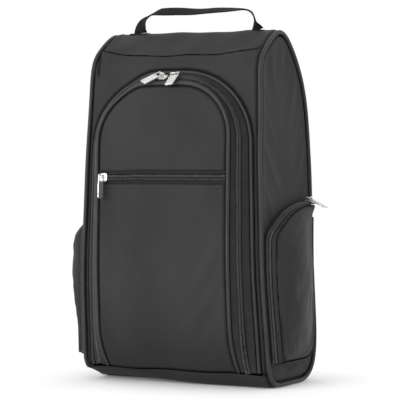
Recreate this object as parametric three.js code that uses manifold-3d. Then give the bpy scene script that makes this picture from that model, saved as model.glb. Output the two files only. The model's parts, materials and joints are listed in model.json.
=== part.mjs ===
// Standing golf shoe bag: a tall soft shell with arched sides, a zipped front door that folds down from
// the base seam, a zipped pocket across the door, a zipped bulging pocket on each side and a top handle.
// Millimetres. +Z is up, the front faces -Y, and the origin is under the middle of the bag on the floor.

import * as THREE from "three";
import Module from "manifold-3d";

const wasm = await Module();
wasm.setup();

// ---------- Driving dimensions ----------

const CENTRE_SHIFT_Y = 6.5; // moves the whole bag so its outline is centred on the origin
const GAP = 0.3; // clearance between pieces that are sewn together
const FABRIC = 2.4; // padded fabric of the shell
const FACE_FABRIC = 2.2; // padded fabric of door and pocket faces
const TAPE = 0.8; // woven zip tape

const HALF_WIDTH_AT_FLOOR = 112; // middle plane to the side panels
const SIDE_SLOPE = 0.032; // the side panels lean in by this much for each mm of height
const FRONT_RADIUS = 1037; // the front swells forward on this radius
const FRONT_MOST_Y = -57.8;
const FRONT_LEAN = THREE.MathUtils.degToRad(4.5); // upper front, straight, leaning back
const FRONT_LEAN_FROM_Z = 250;
const FRONT_LEAN_TO_Z = 342;
const BASE_SEAM_Z = 15;
const BACK_BASE_SEAM_Z = 30;
const BACK_TOP_SEAM_Z = 345;
const TOP_SEAM_Z = 353; // in the middle; the ends of the seam sit higher
const TOP_SEAM_RISE = 7;

const CORNER_PIPING_RADIUS = 2.6;
const OPENING_PIPING_RADIUS = 2.3;
const DOOR_PIPING_RADIUS = 2.1;

const DOOR_FOOT_Z = 17.5;
const DOOR_STAND = 20; // how far the door face stands forward of the front of the shell
const DOOR_STAND_FULL_Z = 68; // below this the door falls back to the base seam
const POCKET_DEPTH = 8; // how far the door backing sags behind the pocket

const COIL_INNER = 1.1; // zip chain: from the middle line of the zip to the coil
const COIL_OUTER = 3.2;
const COIL_HALF_THICKNESS = 1.2;
const TAPE_START = 3.5;

const POCKET_ZIP_Z = 221.7;
const POCKET_ZIP_INSET = 0.9; // the pocket zip lies this far under the door face
const POCKET_TAPE_REACH = 5.4;

const SIDE_ZIP_STAND = 5.5; // side pocket zip above the side panel
const SIDE_ZIP_TILT = THREE.MathUtils.degToRad(78);
const SIDE_ARC_Y = 50; // centre and radius of the side pocket's top edge
const SIDE_ARC_Z = 26;
const SIDE_ARC_RADIUS = 168;
const SIDE_CORNER_RADIUS = 14;
const SIDE_FRONT_Y = -50.6;
const SIDE_ZIP_INSET = 7; // from the front of the shell back to the side zip
const SIDE_ZIP_FOOT_Z = 28;

const SLIDER_HALF_LENGTH = 5.4;
const SLIDER_HALF_WIDTH = 4.4;
const SLIDER_FLAP_REACH = 3; // a side slider's plates stop short of the raised pocket face
const SLIDER_PLATE_IN = 1.75;
const SLIDER_PLATE_OUT = 2.75;
const BAIL_HALF_SPAN = 2.7;
const BAIL_WIRE = 1.2;
const BAIL_WIRE_MIDDLE = 6.5;
const BAIL_OFFSET = 0.7; // the bail of a slider on an opening edge sits towards the edge it rides

const STRAP_WIDTH = 18;
const STRAP_THICKNESS = 2.6;

// ---------- Materials ----------

const cloth = (name, color) => new THREE.MeshStandardMaterial({ name, color, roughness: 0.86, metalness: 0 });
const shellCloth = () => cloth("shell_fabric", 0x3c403f);
const pipingCloth = () => cloth("piping_fabric", 0x2b2d2d);
const tapeCloth = () => cloth("zip_tape", 0x242626);
const coilPlastic = () => new THREE.MeshStandardMaterial({ name: "zip_coil", color: 0x1b1c1c, roughness: 0.5 });
const webbing = () => cloth("webbing", 0x2a2c2c);
const stiffener = () => cloth("base_stiffener", 0x222222);
const nickel = () =>
  new THREE.MeshStandardMaterial({ name: "nickel", color: 0xd8d8d6, roughness: 0.25, metalness: 1 });

// ---------- Small helpers ----------

const vec = (x, y, z) => new THREE.Vector3(x, y, z);
const lerp = THREE.MathUtils.lerp;
const clamp = THREE.MathUtils.clamp;
const smooth = (t) => THREE.MathUtils.smoothstep(t, 0, 1);
const radians = THREE.MathUtils.degToRad;

// Height or reach read off a list of [position, value] pairs.
function along(pairs, position) {
  const last = pairs.length - 1;
  if (position <= pairs[0][0]) return pairs[0][1];
  if (position >= pairs[last][0]) return pairs[last][1];
  const k = pairs.findIndex((pair) => pair[0] > position);
  const [p0, v0] = pairs[k - 1];
  const [p1, v1] = pairs[k];
  return lerp(v0, v1, (position - p0) / (p1 - p0));
}

function signedVolume(positions, indices) {
  const corner = (i) => vec(...positions.slice(3 * indices[i], 3 * indices[i] + 3));
  let volume = 0;
  for (let i = 0; i < indices.length; i += 3) {
    volume += corner(i).dot(corner(i + 1).cross(corner(i + 2)));
  }
  return volume;
}

// Makes the geometry and turns its faces outwards if they point in.
function closedGeometry(positions, indices) {
  if (signedVolume(positions, indices) < 0) indices.reverse();
  const geometry = new THREE.BufferGeometry();
  geometry.setAttribute("position", new THREE.Float32BufferAttribute(positions, 3));
  geometry.setIndex(indices);
  geometry.computeVertexNormals();
  return geometry;
}

// A closed solid between two sheets that share a grid: upper(i, j) and lower(i, j) give the corners.
function slab(across, down, upper, lower) {
  const positions = [];
  const indices = [];
  for (const sheet of [upper, lower]) {
    for (let i = 0; i <= across; i++) {
      for (let j = 0; j <= down; j++) positions.push(...sheet(i, j).toArray());
    }
  }
  const perSheet = (across + 1) * (down + 1);
  const at = (side, i, j) => side * perSheet + i * (down + 1) + j;
  const quad = (a, b, c, d) => indices.push(a, b, c, a, c, d);
  for (let i = 0; i < across; i++) {
    for (let j = 0; j < down; j++) {
      quad(at(0, i, j), at(0, i + 1, j), at(0, i + 1, j + 1), at(0, i, j + 1));
      quad(at(1, i, j), at(1, i, j + 1), at(1, i + 1, j + 1), at(1, i + 1, j));
    }
  }
  for (let i = 0; i < across; i++) {
    quad(at(0, i, 0), at(1, i, 0), at(1, i + 1, 0), at(0, i + 1, 0));
    quad(at(0, i, down), at(0, i + 1, down), at(1, i + 1, down), at(1, i, down));
  }
  for (let j = 0; j < down; j++) {
    quad(at(0, 0, j), at(0, 0, j + 1), at(1, 0, j + 1), at(1, 0, j));
    quad(at(0, across, j), at(1, across, j), at(1, across, j + 1), at(0, across, j + 1));
  }
  return closedGeometry(positions, indices);
}

// A closed solid through a row of convex sections, each the same number of points.
function loft(sections, isRing) {
  const size = sections[0].length;
  const positions = sections.flat().flatMap((p) => p.toArray());
  const indices = [];
  const steps = isRing ? sections.length : sections.length - 1;
  for (let k = 0; k < steps; k++) {
    const here = k * size;
    const next = ((k + 1) % sections.length) * size;
    for (let i = 0; i < size; i++) {
      const j = (i + 1) % size;
      indices.push(here + i, here + j, next + j, here + i, next + j, next + i);
    }
  }
  if (!isRing) {
    const end = (sections.length - 1) * size;
    for (let i = 1; i < size - 1; i++) {
      indices.push(0, i + 1, i);
      indices.push(end, end + i, end + i + 1);
    }
  }
  return closedGeometry(positions, indices);
}

// A flat plate with an outline and holes in its own plane, carried into space by place(u, v, height).
function plate(outline, holes, low, high, place) {
  const contour = outline.map(([u, v]) => new THREE.Vector2(u, v));
  if (THREE.ShapeUtils.isClockWise(contour)) contour.reverse();
  const rings = holes.map((hole) => hole.map(([u, v]) => new THREE.Vector2(u, v)));
  for (const ring of rings) if (!THREE.ShapeUtils.isClockWise(ring)) ring.reverse();
  const faces = THREE.ShapeUtils.triangulateShape(contour, rings);
  const flat = [...contour, ...rings.flat()];
  const positions = [low, high].flatMap((h) => flat.flatMap((p) => place(p.x, p.y, h).toArray()));
  const indices = [];
  const top = flat.length;
  for (const [a, b, c] of faces) {
    indices.push(a, c, b);
    indices.push(top + a, top + b, top + c);
  }
  let start = 0;
  for (const ring of [contour, ...rings]) {
    for (let i = 0; i < ring.length; i++) {
      const a = start + i;
      const b = start + ((i + 1) % ring.length);
      indices.push(a, b, top + b, a, top + b, top + a);
    }
    start += ring.length;
  }
  return closedGeometry(positions, indices);
}

// A round cord through points, its section turned so that one axis follows the given normals.
function cordAlong(points, normals, radius, sides, isRing) {
  const sections = points.map((p, k) => {
    const last = points.length - 1;
    const before = isRing ? points[(k + last) % points.length] : points[Math.max(k - 1, 0)];
    const after = isRing ? points[(k + 1) % points.length] : points[Math.min(k + 1, last)];
    const tangent = after.clone().sub(before).normalize();
    const across = tangent.clone().cross(normals[k]).normalize();
    const up = across.clone().cross(tangent);
    return Array.from({ length: sides }, (_, i) => {
      const angle = (2 * Math.PI * (i + 0.5)) / sides;
      return p
        .clone()
        .addScaledVector(across, radius * Math.cos(angle))
        .addScaledVector(up, radius * Math.sin(angle));
    });
  });
  return loft(sections, isRing);
}

// ---------- Side profile of the shell ----------

const frontMidZ = FRONT_LEAN_FROM_Z - FRONT_RADIUS * Math.sin(FRONT_LEAN);
const swellY = (z) => FRONT_MOST_Y + FRONT_RADIUS - Math.sqrt(FRONT_RADIUS ** 2 - (z - frontMidZ) ** 2);

function profileKnots() {
  const knots = [];
  for (let k = 0; k <= 10; k++) {
    const z = lerp(BASE_SEAM_Z, FRONT_LEAN_FROM_Z - 4, k / 10);
    knots.push([swellY(z), z]);
  }
  for (let k = 0; k <= 8; k++) {
    const z = lerp(FRONT_LEAN_FROM_Z, FRONT_LEAN_TO_Z, k / 8);
    knots.push([swellY(FRONT_LEAN_FROM_Z) + (z - FRONT_LEAN_FROM_Z) * Math.tan(FRONT_LEAN), z]);
  }
  knots.push([-41.5, 352], [-31.5, 361], [-20, 369.5], [-8, 376.5], [4, 380]); // front slope to the ridge
  knots.push([15, 377.5], [25, 370], [36, 358.5], [46.5, 345], [56.5, 328], [64, 308]); // rear slope
  knots.push([68.5, 285], [70, 255], [70.3, 200], [71, 140], [72.5, 90], [74.5, 55], [73.5, 38]); // back
  knots.push([68, 20], [56, 6.5], [42, 0.6], [32, 0], [18, 0], [4, 0], [-10, 0], [-24, 0]); // heel and base
  knots.push([-34, 1.2], [-42, 6.5]); // toe
  return knots;
}

const PROFILE_STEPS = 900;
const profileCurve = new THREE.CatmullRomCurve3(
  profileKnots().map(([y, z]) => vec(0, y, z)),
  true,
  "centripetal",
);
const profile = [];
for (let k = 0; k <= PROFILE_STEPS; k++) {
  const p = profileCurve.getPoint(k / PROFILE_STEPS);
  const before = k ? profile[k - 1] : null;
  const s = before ? before.s + Math.hypot(p.y - before.y, p.z - before.z) : 0;
  profile.push({ s, y: p.y, z: Math.max(p.z, 0) });
}
const profileLength = profile[PROFILE_STEPS].s;
const ridgeIndex = profile.reduce((best, p, k) => (p.z > profile[best].z ? k : best), 0);
const heelIndex = profile.findIndex((p, k) => k > ridgeIndex && p.z <= 0.01);

// Point and outward normal at distance s along the profile, from the front base seam over the ridge.
function profileAt(s) {
  const wrapped = ((s % profileLength) + profileLength) % profileLength;
  const k = clamp(profile.findIndex((p) => p.s > wrapped), 1, PROFILE_STEPS);
  const a = profile[k - 1];
  const b = profile[k];
  const t = (wrapped - a.s) / (b.s - a.s);
  const before = profile[Math.max(k - 3, 0)];
  const after = profile[Math.min(k + 2, PROFILE_STEPS)];
  const length = Math.hypot(after.y - before.y, after.z - before.z);
  return {
    y: lerp(a.y, b.y, t),
    z: lerp(a.z, b.z, t),
    ny: -(after.z - before.z) / length,
    nz: (after.y - before.y) / length,
  };
}

function lengthAtFront(z) {
  const k = clamp(profile.findIndex((p) => p.z > z), 1, ridgeIndex);
  const a = profile[k - 1];
  const b = profile[k];
  return lerp(a.s, b.s, (z - a.z) / (b.z - a.z));
}

function lengthAtRear(z) {
  const k = profile.findIndex((p, i) => i > ridgeIndex && p.z < z);
  const a = profile[k - 1];
  const b = profile[k];
  return lerp(a.s, b.s, (z - a.z) / (b.z - a.z));
}

const halfWidth = (z) => HALF_WIDTH_AT_FLOOR - SIDE_SLOPE * z;

// A point of the shell: x across, s along the profile, n out of the surface.
function shell(x, s, n) {
  const p = profileAt(s);
  return vec(x, p.y + p.ny * n, p.z + p.nz * n);
}
const front = (x, z, n) => shell(x, lengthAtFront(z), n);
const frontNormal = (z) => front(0, z, 1).sub(front(0, z, 0)).normalize();
const frontY = (z) => front(0, z, 0).y;

// A point of a side: y and z in the side panel, b out of it. side is 1 for +X and -1 for -X.
const sideLean = Math.atan(SIDE_SLOPE);
const sidePoint = (side, y, z, b) =>
  vec(side * (halfWidth(z) + b * Math.cos(sideLean)), y, z + b * Math.sin(sideLean));

// ---------- Shell panels ----------

const PANEL_EDGE = CORNER_PIPING_RADIUS + GAP + 0.1; // front, top, back and base stop this far short of the side

// The line of the corner piping lies this deep in the profile. It tucks under so the base meets the floor.
const pipingTuck = (z) => 1.4 + 1.5 * (1 - smooth(z / 22));

const topSeamZ = (x) => TOP_SEAM_Z + TOP_SEAM_RISE * Math.abs(x / 100) ** 2.4;

// A panel across the bag between two lengths of the profile.
function crossPanel(columns, rows, fromLength, toLength, outer, inner) {
  const at = (n) => (i, j) => {
    const u = (2 * i) / columns - 1;
    const s = lerp(fromLength(u * 100), toLength(u * 100), j / rows);
    return shell(u * (halfWidth(profileAt(s).z) - PANEL_EDGE), s, n);
  };
  return slab(columns, rows, at(outer), at(inner));
}

const topPanel = () =>
  crossPanel(
    12,
    14,
    (x) => lengthAtFront(topSeamZ(x)) + GAP / 2,
    () => lengthAtRear(BACK_TOP_SEAM_Z) - GAP / 2,
    0,
    -FABRIC,
  );
const backPanel = () =>
  crossPanel(
    4,
    16,
    () => lengthAtRear(BACK_TOP_SEAM_Z) + GAP / 2,
    () => lengthAtRear(BACK_BASE_SEAM_Z) - GAP / 2,
    0,
    -FABRIC,
  );
const basePanel = () =>
  crossPanel(
    2,
    22,
    () => lengthAtRear(BACK_BASE_SEAM_Z) + GAP / 2,
    () => profileLength - GAP / 2,
    0,
    -FABRIC,
  );

function sidePanel(side) {
  const points = 52;
  const outline = Array.from({ length: points }, (_, k) => {
    const s = (k / points) * profileLength;
    const p = shell(0, s, -pipingTuck(profileAt(s).z) - CORNER_PIPING_RADIUS - 2.5 * GAP);
    return [p.y, p.z];
  });
  return plate(outline, [], -FABRIC, 0, (y, z, b) => sidePoint(side, y, z, b));
}

function cornerPiping(side) {
  const points = [];
  const normals = [];
  const steps = 60;
  for (let k = 0; k < steps; k++) {
    const s = (k / steps) * profileLength;
    const { z, ny, nz } = profileAt(s);
    points.push(shell(side * (halfWidth(z) - 0.1), s, -pipingTuck(z)));
    normals.push(vec(0, ny, nz));
  }
  return cordAlong(points, normals, CORNER_PIPING_RADIUS, 8, true);
}

const BOARD_OUTLINE = [
  [-98, -22],
  [98, -22],
  [103, -17],
  [103, 27],
  [98, 32],
  [-98, 32],
  [-103, 27],
  [-103, -17],
];
const baseBoard = () => plate(BOARD_OUTLINE, [], FABRIC + GAP, FABRIC + GAP + 3, (x, y, z) => vec(x, y, z));

// ---------- Arches of the front: opening, zip and door edge ----------

const ARCH_STRAIGHT = 10;
const ARCH_CORNER = 10;

// Points [x, z] of an arch from its left foot over the top to its right foot.
function arch({ cornerX, cornerZ, radius, spread, sweep }) {
  const half = [];
  for (let k = 0; k < ARCH_STRAIGHT; k++) {
    const z = lerp(DOOR_FOOT_Z, cornerZ, (k / ARCH_STRAIGHT) ** 1.6);
    half.push([cornerX + radius + spread * (cornerZ - z), z]);
  }
  for (let k = 0; k <= ARCH_CORNER; k++) {
    const angle = radians((sweep * k) / ARCH_CORNER);
    half.push([cornerX + radius * Math.cos(angle), cornerZ + radius * Math.sin(angle)]);
  }
  const left = half.map(([x, z]) => [-x, z]);
  const middle = [0, half[half.length - 1][1]];
  return [...left, middle, ...half.reverse()];
}

const OPENING = { cornerX: 14, cornerZ: 254, radius: 80, spread: 0.028, sweep: 90 };
const ZIP = { cornerX: 14, cornerZ: 256.5, radius: 70.5, spread: 0.014, sweep: 96.9 };
const DOOR = { cornerX: 20, cornerZ: 263, radius: 57.5, spread: 0, sweep: 90 };
const openingArch = arch(OPENING);
const zipArch = arch(ZIP);
const doorArch = arch(DOOR);
const ARCH_STEPS = openingArch.length - 1;

// How far the door edge stands forward of the shell at a height.
const doorStand = (z) =>
  DOOR_STAND * Math.sin(0.5 * Math.PI * clamp((z - BASE_SEAM_Z + 1) / (DOOR_STAND_FULL_Z - BASE_SEAM_Z), 0, 1));

const zipPoints = zipArch.map(([x, z]) => front(x, z, 0.475 * doorStand(z)));

// Zip frame k: w runs across the zip towards the door, m stands out of it.
const zipFrames = zipPoints.map((p, k) => {
  const tangent = zipPoints[Math.min(k + 1, ARCH_STEPS)].clone().sub(zipPoints[Math.max(k - 1, 0)]).normalize();
  const normal = frontNormal(zipArch[k][1]);
  const inward = tangent.clone().cross(normal).normalize();
  const tilt = Math.atan2(0.8 * doorStand(zipArch[k][1]), 12);
  const w = inward.clone().multiplyScalar(Math.cos(tilt)).addScaledVector(normal, Math.sin(tilt));
  const m = normal.clone().multiplyScalar(Math.cos(tilt)).addScaledVector(inward, -Math.sin(tilt));
  return { p, w, m };
});
const onZip = (k, across, out) => {
  const { p, w, m } = zipFrames[k];
  return p.clone().addScaledVector(w, across).addScaledVector(m, out);
};

// A coil half of the main zip: direction is -1 on the shell side and 1 on the door side.
function mainCoil(direction) {
  const sections = zipFrames.map((_, k) => [
    onZip(k, direction * COIL_INNER, -COIL_HALF_THICKNESS),
    onZip(k, direction * COIL_OUTER, -COIL_HALF_THICKNESS),
    onZip(k, direction * COIL_OUTER, COIL_HALF_THICKNESS),
    onZip(k, direction * COIL_INNER, COIL_HALF_THICKNESS),
  ]);
  return loft(sections, false);
}

// A tape of the main zip, from beside its coil to the piping it is sewn into.
function mainTape(direction, edgePoint, edgeRadius) {
  const at = (out) => (i, k) => {
    if (i === 0) return onZip(k, direction * TAPE_START, out);
    if (i === 1) return onZip(k, direction * (TAPE_START + 1.3), out);
    const tangent = edgePoint(Math.min(k + 1, ARCH_STEPS)).sub(edgePoint(Math.max(k - 1, 0))).normalize();
    const towards = zipFrames[k].p.clone().sub(edgePoint(k));
    towards.addScaledVector(tangent, -towards.dot(tangent)).normalize();
    return edgePoint(k).addScaledVector(towards, edgeRadius + 0.5).addScaledVector(zipFrames[k].m, out);
  };
  return slab(2, ARCH_STEPS, at(TAPE / 2), at(-TAPE / 2));
}

const openingPoint = (k) => front(openingArch[k][0], openingArch[k][1], -0.6);
const doorEdgePoint = (k) => front(doorArch[k][0], doorArch[k][1], doorStand(doorArch[k][1]) - 1);

const archPiping = (points, line, radius) =>
  cordAlong(points, line.map(([, z]) => frontNormal(z)), radius, 8, false);
const openingPiping = () =>
  archPiping(openingArch.map((_, k) => openingPoint(k)), openingArch, OPENING_PIPING_RADIUS);
const doorPiping = () => archPiping(doorArch.map((_, k) => doorEdgePoint(k)), doorArch, DOOR_PIPING_RADIUS);

// The front of the shell round the opening: two legs and the yoke above.
function frontFrame() {
  const rows = 5;
  const edge = OPENING_PIPING_RADIUS + GAP;
  const inner = arch({ ...OPENING, radius: OPENING.radius + edge });
  const legs = ARCH_STRAIGHT;
  const outer = inner.map(([x, z], k) => {
    const fromFoot = Math.min(k, ARCH_STEPS - k);
    const side = Math.sign(x);
    if (fromFoot <= legs) return [side * (halfWidth(z) - PANEL_EDGE), z];
    const turn = fromFoot - legs;
    const cornerX = halfWidth(topSeamZ(100)) - PANEL_EDGE;
    if (turn <= 6) {
      const up = lerp(OPENING.cornerZ, topSeamZ(cornerX) - GAP / 2, turn / 6);
      return [side * (halfWidth(up) - PANEL_EDGE), up];
    }
    const x2 = fromFoot > legs + ARCH_CORNER ? 0 : cornerX * (1 - (turn - 6) / 5);
    return [side * x2, topSeamZ(x2) - GAP / 2];
  });
  const at = (n) => (i, k) => {
    const x = lerp(inner[k][0], outer[k][0], i / rows);
    const z = lerp(inner[k][1], outer[k][1], i / rows);
    return front(x, z, n);
  };
  return slab(rows, ARCH_STEPS, at(0), at(-FABRIC));
}

// ---------- Door ----------

const FACE_EDGE = DOOR_PIPING_RADIUS + GAP;

// Half width of the door face at a height, inside its piping.
function faceHalfWidth(z) {
  const radius = DOOR.radius - FACE_EDGE;
  if (z <= DOOR.cornerZ) return DOOR.cornerX + radius;
  return DOOR.cornerX + Math.sqrt(Math.max(radius ** 2 - (z - DOOR.cornerZ) ** 2, 0));
}

const faceTopZ = DOOR.cornerZ + DOOR.radius - FACE_EDGE;

function doorFaceUpper() {
  const straight = 2;
  const rows = 10;
  const bottom = POCKET_ZIP_Z + POCKET_TAPE_REACH + GAP;
  const heightAt = (j) => {
    if (j <= straight) return lerp(bottom, DOOR.cornerZ, j / straight);
    return DOOR.cornerZ + (faceTopZ - DOOR.cornerZ) * Math.sin((0.5 * Math.PI * (j - straight)) / (rows - straight));
  };
  const at = (depth) => (i, j) => {
    const z = heightAt(j);
    return front((i / 3 - 1) * faceHalfWidth(z), z, doorStand(z) - depth);
  };
  return slab(6, rows, at(0), at(FACE_FABRIC));
}

function doorFaceLower() {
  const rows = 16;
  const top = POCKET_ZIP_Z - POCKET_TAPE_REACH - GAP;
  const at = (depth) => (i, j) => {
    const z = lerp(DOOR_FOOT_Z, top, (j / rows) ** 1.5);
    return front((i - 1) * faceHalfWidth(z), z, doorStand(z) - depth);
  };
  return slab(2, rows, at(0), at(FACE_FABRIC));
}

// The inner panel of the door: the back of the pocket, hanging slack behind the face.
function doorBacking() {
  const rows = 16;
  const columns = 8;
  const foot = 34;
  const top = faceTopZ - 6;
  const at = (depth) => (i, j) => {
    const u = (2 * i) / columns - 1;
    const t = j / rows;
    const z = lerp(foot, top, t);
    const slack = POCKET_DEPTH * (1 - u ** 4) * Math.min(1, 5 * t) * Math.min(1, 4 * (1 - t));
    return front(u * (faceHalfWidth(z) - 3), z, doorStand(z) - FACE_FABRIC - 1.6 - slack - depth);
  };
  return slab(columns, rows, at(0), at(1.4));
}

// Pocket zip pieces: direction is 1 above the middle line of the zip and -1 below.
const pocketZipStand = DOOR_STAND - POCKET_ZIP_INSET;
const pocketZipNormal = frontNormal(POCKET_ZIP_Z);
const pocketZipUp = vec(0, -pocketZipNormal.z, pocketZipNormal.y).multiplyScalar(-1);
const pocketZipOrigin = front(0, POCKET_ZIP_Z, pocketZipStand);
const onPocketZip = (x, up, out) =>
  pocketZipOrigin
    .clone()
    .add(vec(x, 0, 0))
    .addScaledVector(pocketZipUp, up)
    .addScaledVector(pocketZipNormal, out);

function pocketZipBar(direction, from, to, thickness) {
  const reach = DOOR.cornerX + DOOR.radius - FACE_EDGE;
  const section = (x) => [
    onPocketZip(x, direction * from, -thickness / 2),
    onPocketZip(x, direction * to, -thickness / 2),
    onPocketZip(x, direction * to, thickness / 2),
    onPocketZip(x, direction * from, thickness / 2),
  ];
  return loft([section(-reach), section(reach)], false);
}

// ---------- Side pockets ----------

// Line of the side pocket zip in the side panel, from its front foot to its rear end, as [y, z].
const sideCornerY = SIDE_FRONT_Y + SIDE_CORNER_RADIUS;
const sideCornerZ =
  SIDE_ARC_Z + Math.sqrt((SIDE_ARC_RADIUS - SIDE_CORNER_RADIUS) ** 2 - (SIDE_ARC_Y - sideCornerY) ** 2);
const sideArcStart = Math.atan2(sideCornerZ - SIDE_ARC_Z, sideCornerY - SIDE_ARC_Y);
const sideArcEnd = radians(86);
const onSideArc = (angle) => [
  SIDE_ARC_Y + SIDE_ARC_RADIUS * Math.cos(angle),
  SIDE_ARC_Z + SIDE_ARC_RADIUS * Math.sin(angle),
];

function sideZipLine() {
  const line = [];
  for (let k = 0; k < 8; k++) {
    const z = lerp(SIDE_ZIP_FOOT_Z, sideCornerZ, k / 8);
    line.push([lerp(frontY(z) + SIDE_ZIP_INSET, SIDE_FRONT_Y, (k / 8) ** 4), z]);
  }
  for (let k = 0; k < 6; k++) {
    const angle = lerp(Math.PI, sideArcStart, k / 6);
    line.push([
      sideCornerY + SIDE_CORNER_RADIUS * Math.cos(angle),
      sideCornerZ + SIDE_CORNER_RADIUS * Math.sin(angle),
    ]);
  }
  for (let k = 0; k <= 12; k++) line.push(onSideArc(lerp(sideArcStart, sideArcEnd, k / 12)));
  return line;
}
const sideLine = sideZipLine();
const SIDE_STEPS = sideLine.length - 1;

const sideFrames = sideLine.map(([y, z], k) => {
  const [y0, z0] = sideLine[Math.max(k - 1, 0)];
  const [y1, z1] = sideLine[Math.min(k + 1, SIDE_STEPS)];
  const length = Math.hypot(y1 - y0, z1 - z0);
  return { y, z, inY: (z1 - z0) / length, inZ: -(y1 - y0) / length };
});

// A point by the side zip: across runs from the panel to the face, out stands out of the zip.
function bySideZip(side, k, across, out, inset = 0) {
  const { y, z, inY, inZ } = sideFrames[k];
  const inward = across * Math.cos(SIDE_ZIP_TILT) - out * Math.sin(SIDE_ZIP_TILT) + inset;
  const b = SIDE_ZIP_STAND + across * Math.sin(SIDE_ZIP_TILT) + out * Math.cos(SIDE_ZIP_TILT);
  return sidePoint(side, y + inward * inY, z + inward * inZ, b);
}

const SEAM_STAND = [
  [-10, 13.5],
  [60, 10.8],
]; // height of the face seam above the side panel, by y
const seamStand = (y) => along(SEAM_STAND, y);
const seamAcross = (k) => (seamStand(sideFrames[k].y) - SIDE_ZIP_STAND) / Math.sin(SIDE_ZIP_TILT);

const seamPoint = (k, inset) => {
  const { y, z, inY, inZ } = sideFrames[k];
  const inward = seamAcross(k) * Math.cos(SIDE_ZIP_TILT) + inset;
  return [y + inward * inY, z + inward * inZ];
};

// Lower and rear outline of the pocket, from beside the zip's foot round to beside its rear end.
const POCKET_LOWER_LINE = [
  [-36, 28],
  [-24, 28],
  [-10, 28],
  [4, 28],
  [18, 28],
  [30, 29],
  [41, 33],
  [50, 40],
  [56, 49],
  [60, 61],
  [61.5, 76],
  [62, 94],
  [62, 112],
  [62, 130],
  [62, 148],
  [62, 165],
  [62, 178],
];
const LOWER_STEPS = POCKET_LOWER_LINE.length - 1;
const LOWER_STAND = [
  [0, 12],
  [0.3, 12],
  [0.55, 7.5],
  [0.75, 5],
  [1, 6.5],
]; // height of the face above the side panel along the lower line, by fraction of its points

const FACE_SWELL = [
  [-50, 19],
  [-42, 25],
  [-30, 29],
  [-15, 30],
  [0, 28.5],
  [15, 25],
  [30, 20],
  [45, 13.5],
  [60, 8],
]; // height of a full pocket's face by y
const SWELL_BY_HEIGHT = [
  [28, 0.6],
  [65, 0.76],
  [96, 0.92],
  [120, 1],
];
const EDGE_PULL = 10; // how far the seams hold the face down

const squareDistance = (y, z, [py, pz]) => (y - py) ** 2 + (z - pz) ** 2;

// Height of the pocket face above the side panel: the swell, held down by the seams round it.
function faceStand(y, z) {
  const full = along(FACE_SWELL, y) * along(SWELL_BY_HEIGHT, z);
  let sum = Math.max(full, seamStand(y) * 0.6);
  let weights = 1;
  let nearestZip = Infinity;
  for (let k = 0; k <= SIDE_STEPS; k++) {
    nearestZip = Math.min(nearestZip, squareDistance(y, z, seamPoint(k, 0)));
  }
  let nearestLower = Infinity;
  let lowerStand = 0;
  POCKET_LOWER_LINE.forEach((p, k) => {
    const d = squareDistance(y, z, p);
    if (d < nearestLower) {
      nearestLower = d;
      lowerStand = along(LOWER_STAND, k / LOWER_STEPS);
    }
  });
  const zipWeight = EDGE_PULL ** 2 / (nearestZip + 1);
  const lowerWeight = EDGE_PULL ** 2 / (nearestLower + 4);
  sum += seamStand(y) * zipWeight + lowerStand * lowerWeight;
  weights += zipWeight + lowerWeight;
  return sum / weights;
}

// The fold of the pocket face, from beside the zip's foot to beside its rear end.
const FOLD_START = [-38, 28.5];
const FOLD_END = [61, 182];
const foldLength = Math.hypot(FOLD_END[0] - FOLD_START[0], FOLD_END[1] - FOLD_START[1]);
const foldAcross = [
  -(FOLD_END[1] - FOLD_START[1]) / foldLength,
  (FOLD_END[0] - FOLD_START[0]) / foldLength,
]; // from the fold towards the zip
const foldPoint = (t, offset) => [
  lerp(FOLD_START[0], FOLD_END[0], t) + offset * foldAcross[0],
  lerp(FOLD_START[1], FOLD_END[1], t) + offset * foldAcross[1],
];

// Part of the pocket face between two lines of [y, z] points.
function facePart(side, steps, rows, lineA, lineB) {
  const at = (depth) => (i, k) => {
    const a = lineA(k);
    const b = lineB(k);
    const t = i / rows;
    const y = lerp(a[0], b[0], t);
    const z = lerp(a[1], b[1], t);
    return sidePoint(side, y, z, faceStand(y, z) - depth);
  };
  return slab(rows, steps, at(0), at(FACE_FABRIC));
}

const sideFlap = (side) =>
  facePart(side, SIDE_STEPS, 6, (k) => seamPoint(k, 0.9), (k) => foldPoint(k / SIDE_STEPS, GAP));
const sidePocketFace = (side) =>
  facePart(side, LOWER_STEPS, 6, (k) => foldPoint(k / LOWER_STEPS, -GAP), (k) => POCKET_LOWER_LINE[k]);

// The strip that closes the pocket below and behind, standing on the side panel.
function sideGusset(side) {
  const outwards = POCKET_LOWER_LINE.map(([, ], k) => {
    const [y0, z0] = POCKET_LOWER_LINE[Math.max(k - 1, 0)];
    const [y1, z1] = POCKET_LOWER_LINE[Math.min(k + 1, LOWER_STEPS)];
    const length = Math.hypot(y1 - y0, z1 - z0);
    return [(z1 - z0) / length, -(y1 - y0) / length];
  });
  const at = (offset) => (i, k) => {
    const [y, z] = POCKET_LOWER_LINE[k];
    const top = Math.max(faceStand(y, z), 3);
    const [oy, oz] = outwards[k];
    return sidePoint(side, y + offset * oy, z + offset * oz, lerp(GAP, top, i));
  };
  return slab(1, LOWER_STEPS, at(GAP + 1.4), at(GAP));
}

function sideCoil(side, direction) {
  const sections = sideFrames.map((_, k) => [
    bySideZip(side, k, direction * COIL_INNER, -COIL_HALF_THICKNESS),
    bySideZip(side, k, direction * COIL_OUTER, -COIL_HALF_THICKNESS),
    bySideZip(side, k, direction * COIL_OUTER, COIL_HALF_THICKNESS),
    bySideZip(side, k, direction * COIL_INNER, COIL_HALF_THICKNESS),
  ]);
  return loft(sections, false);
}

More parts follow.
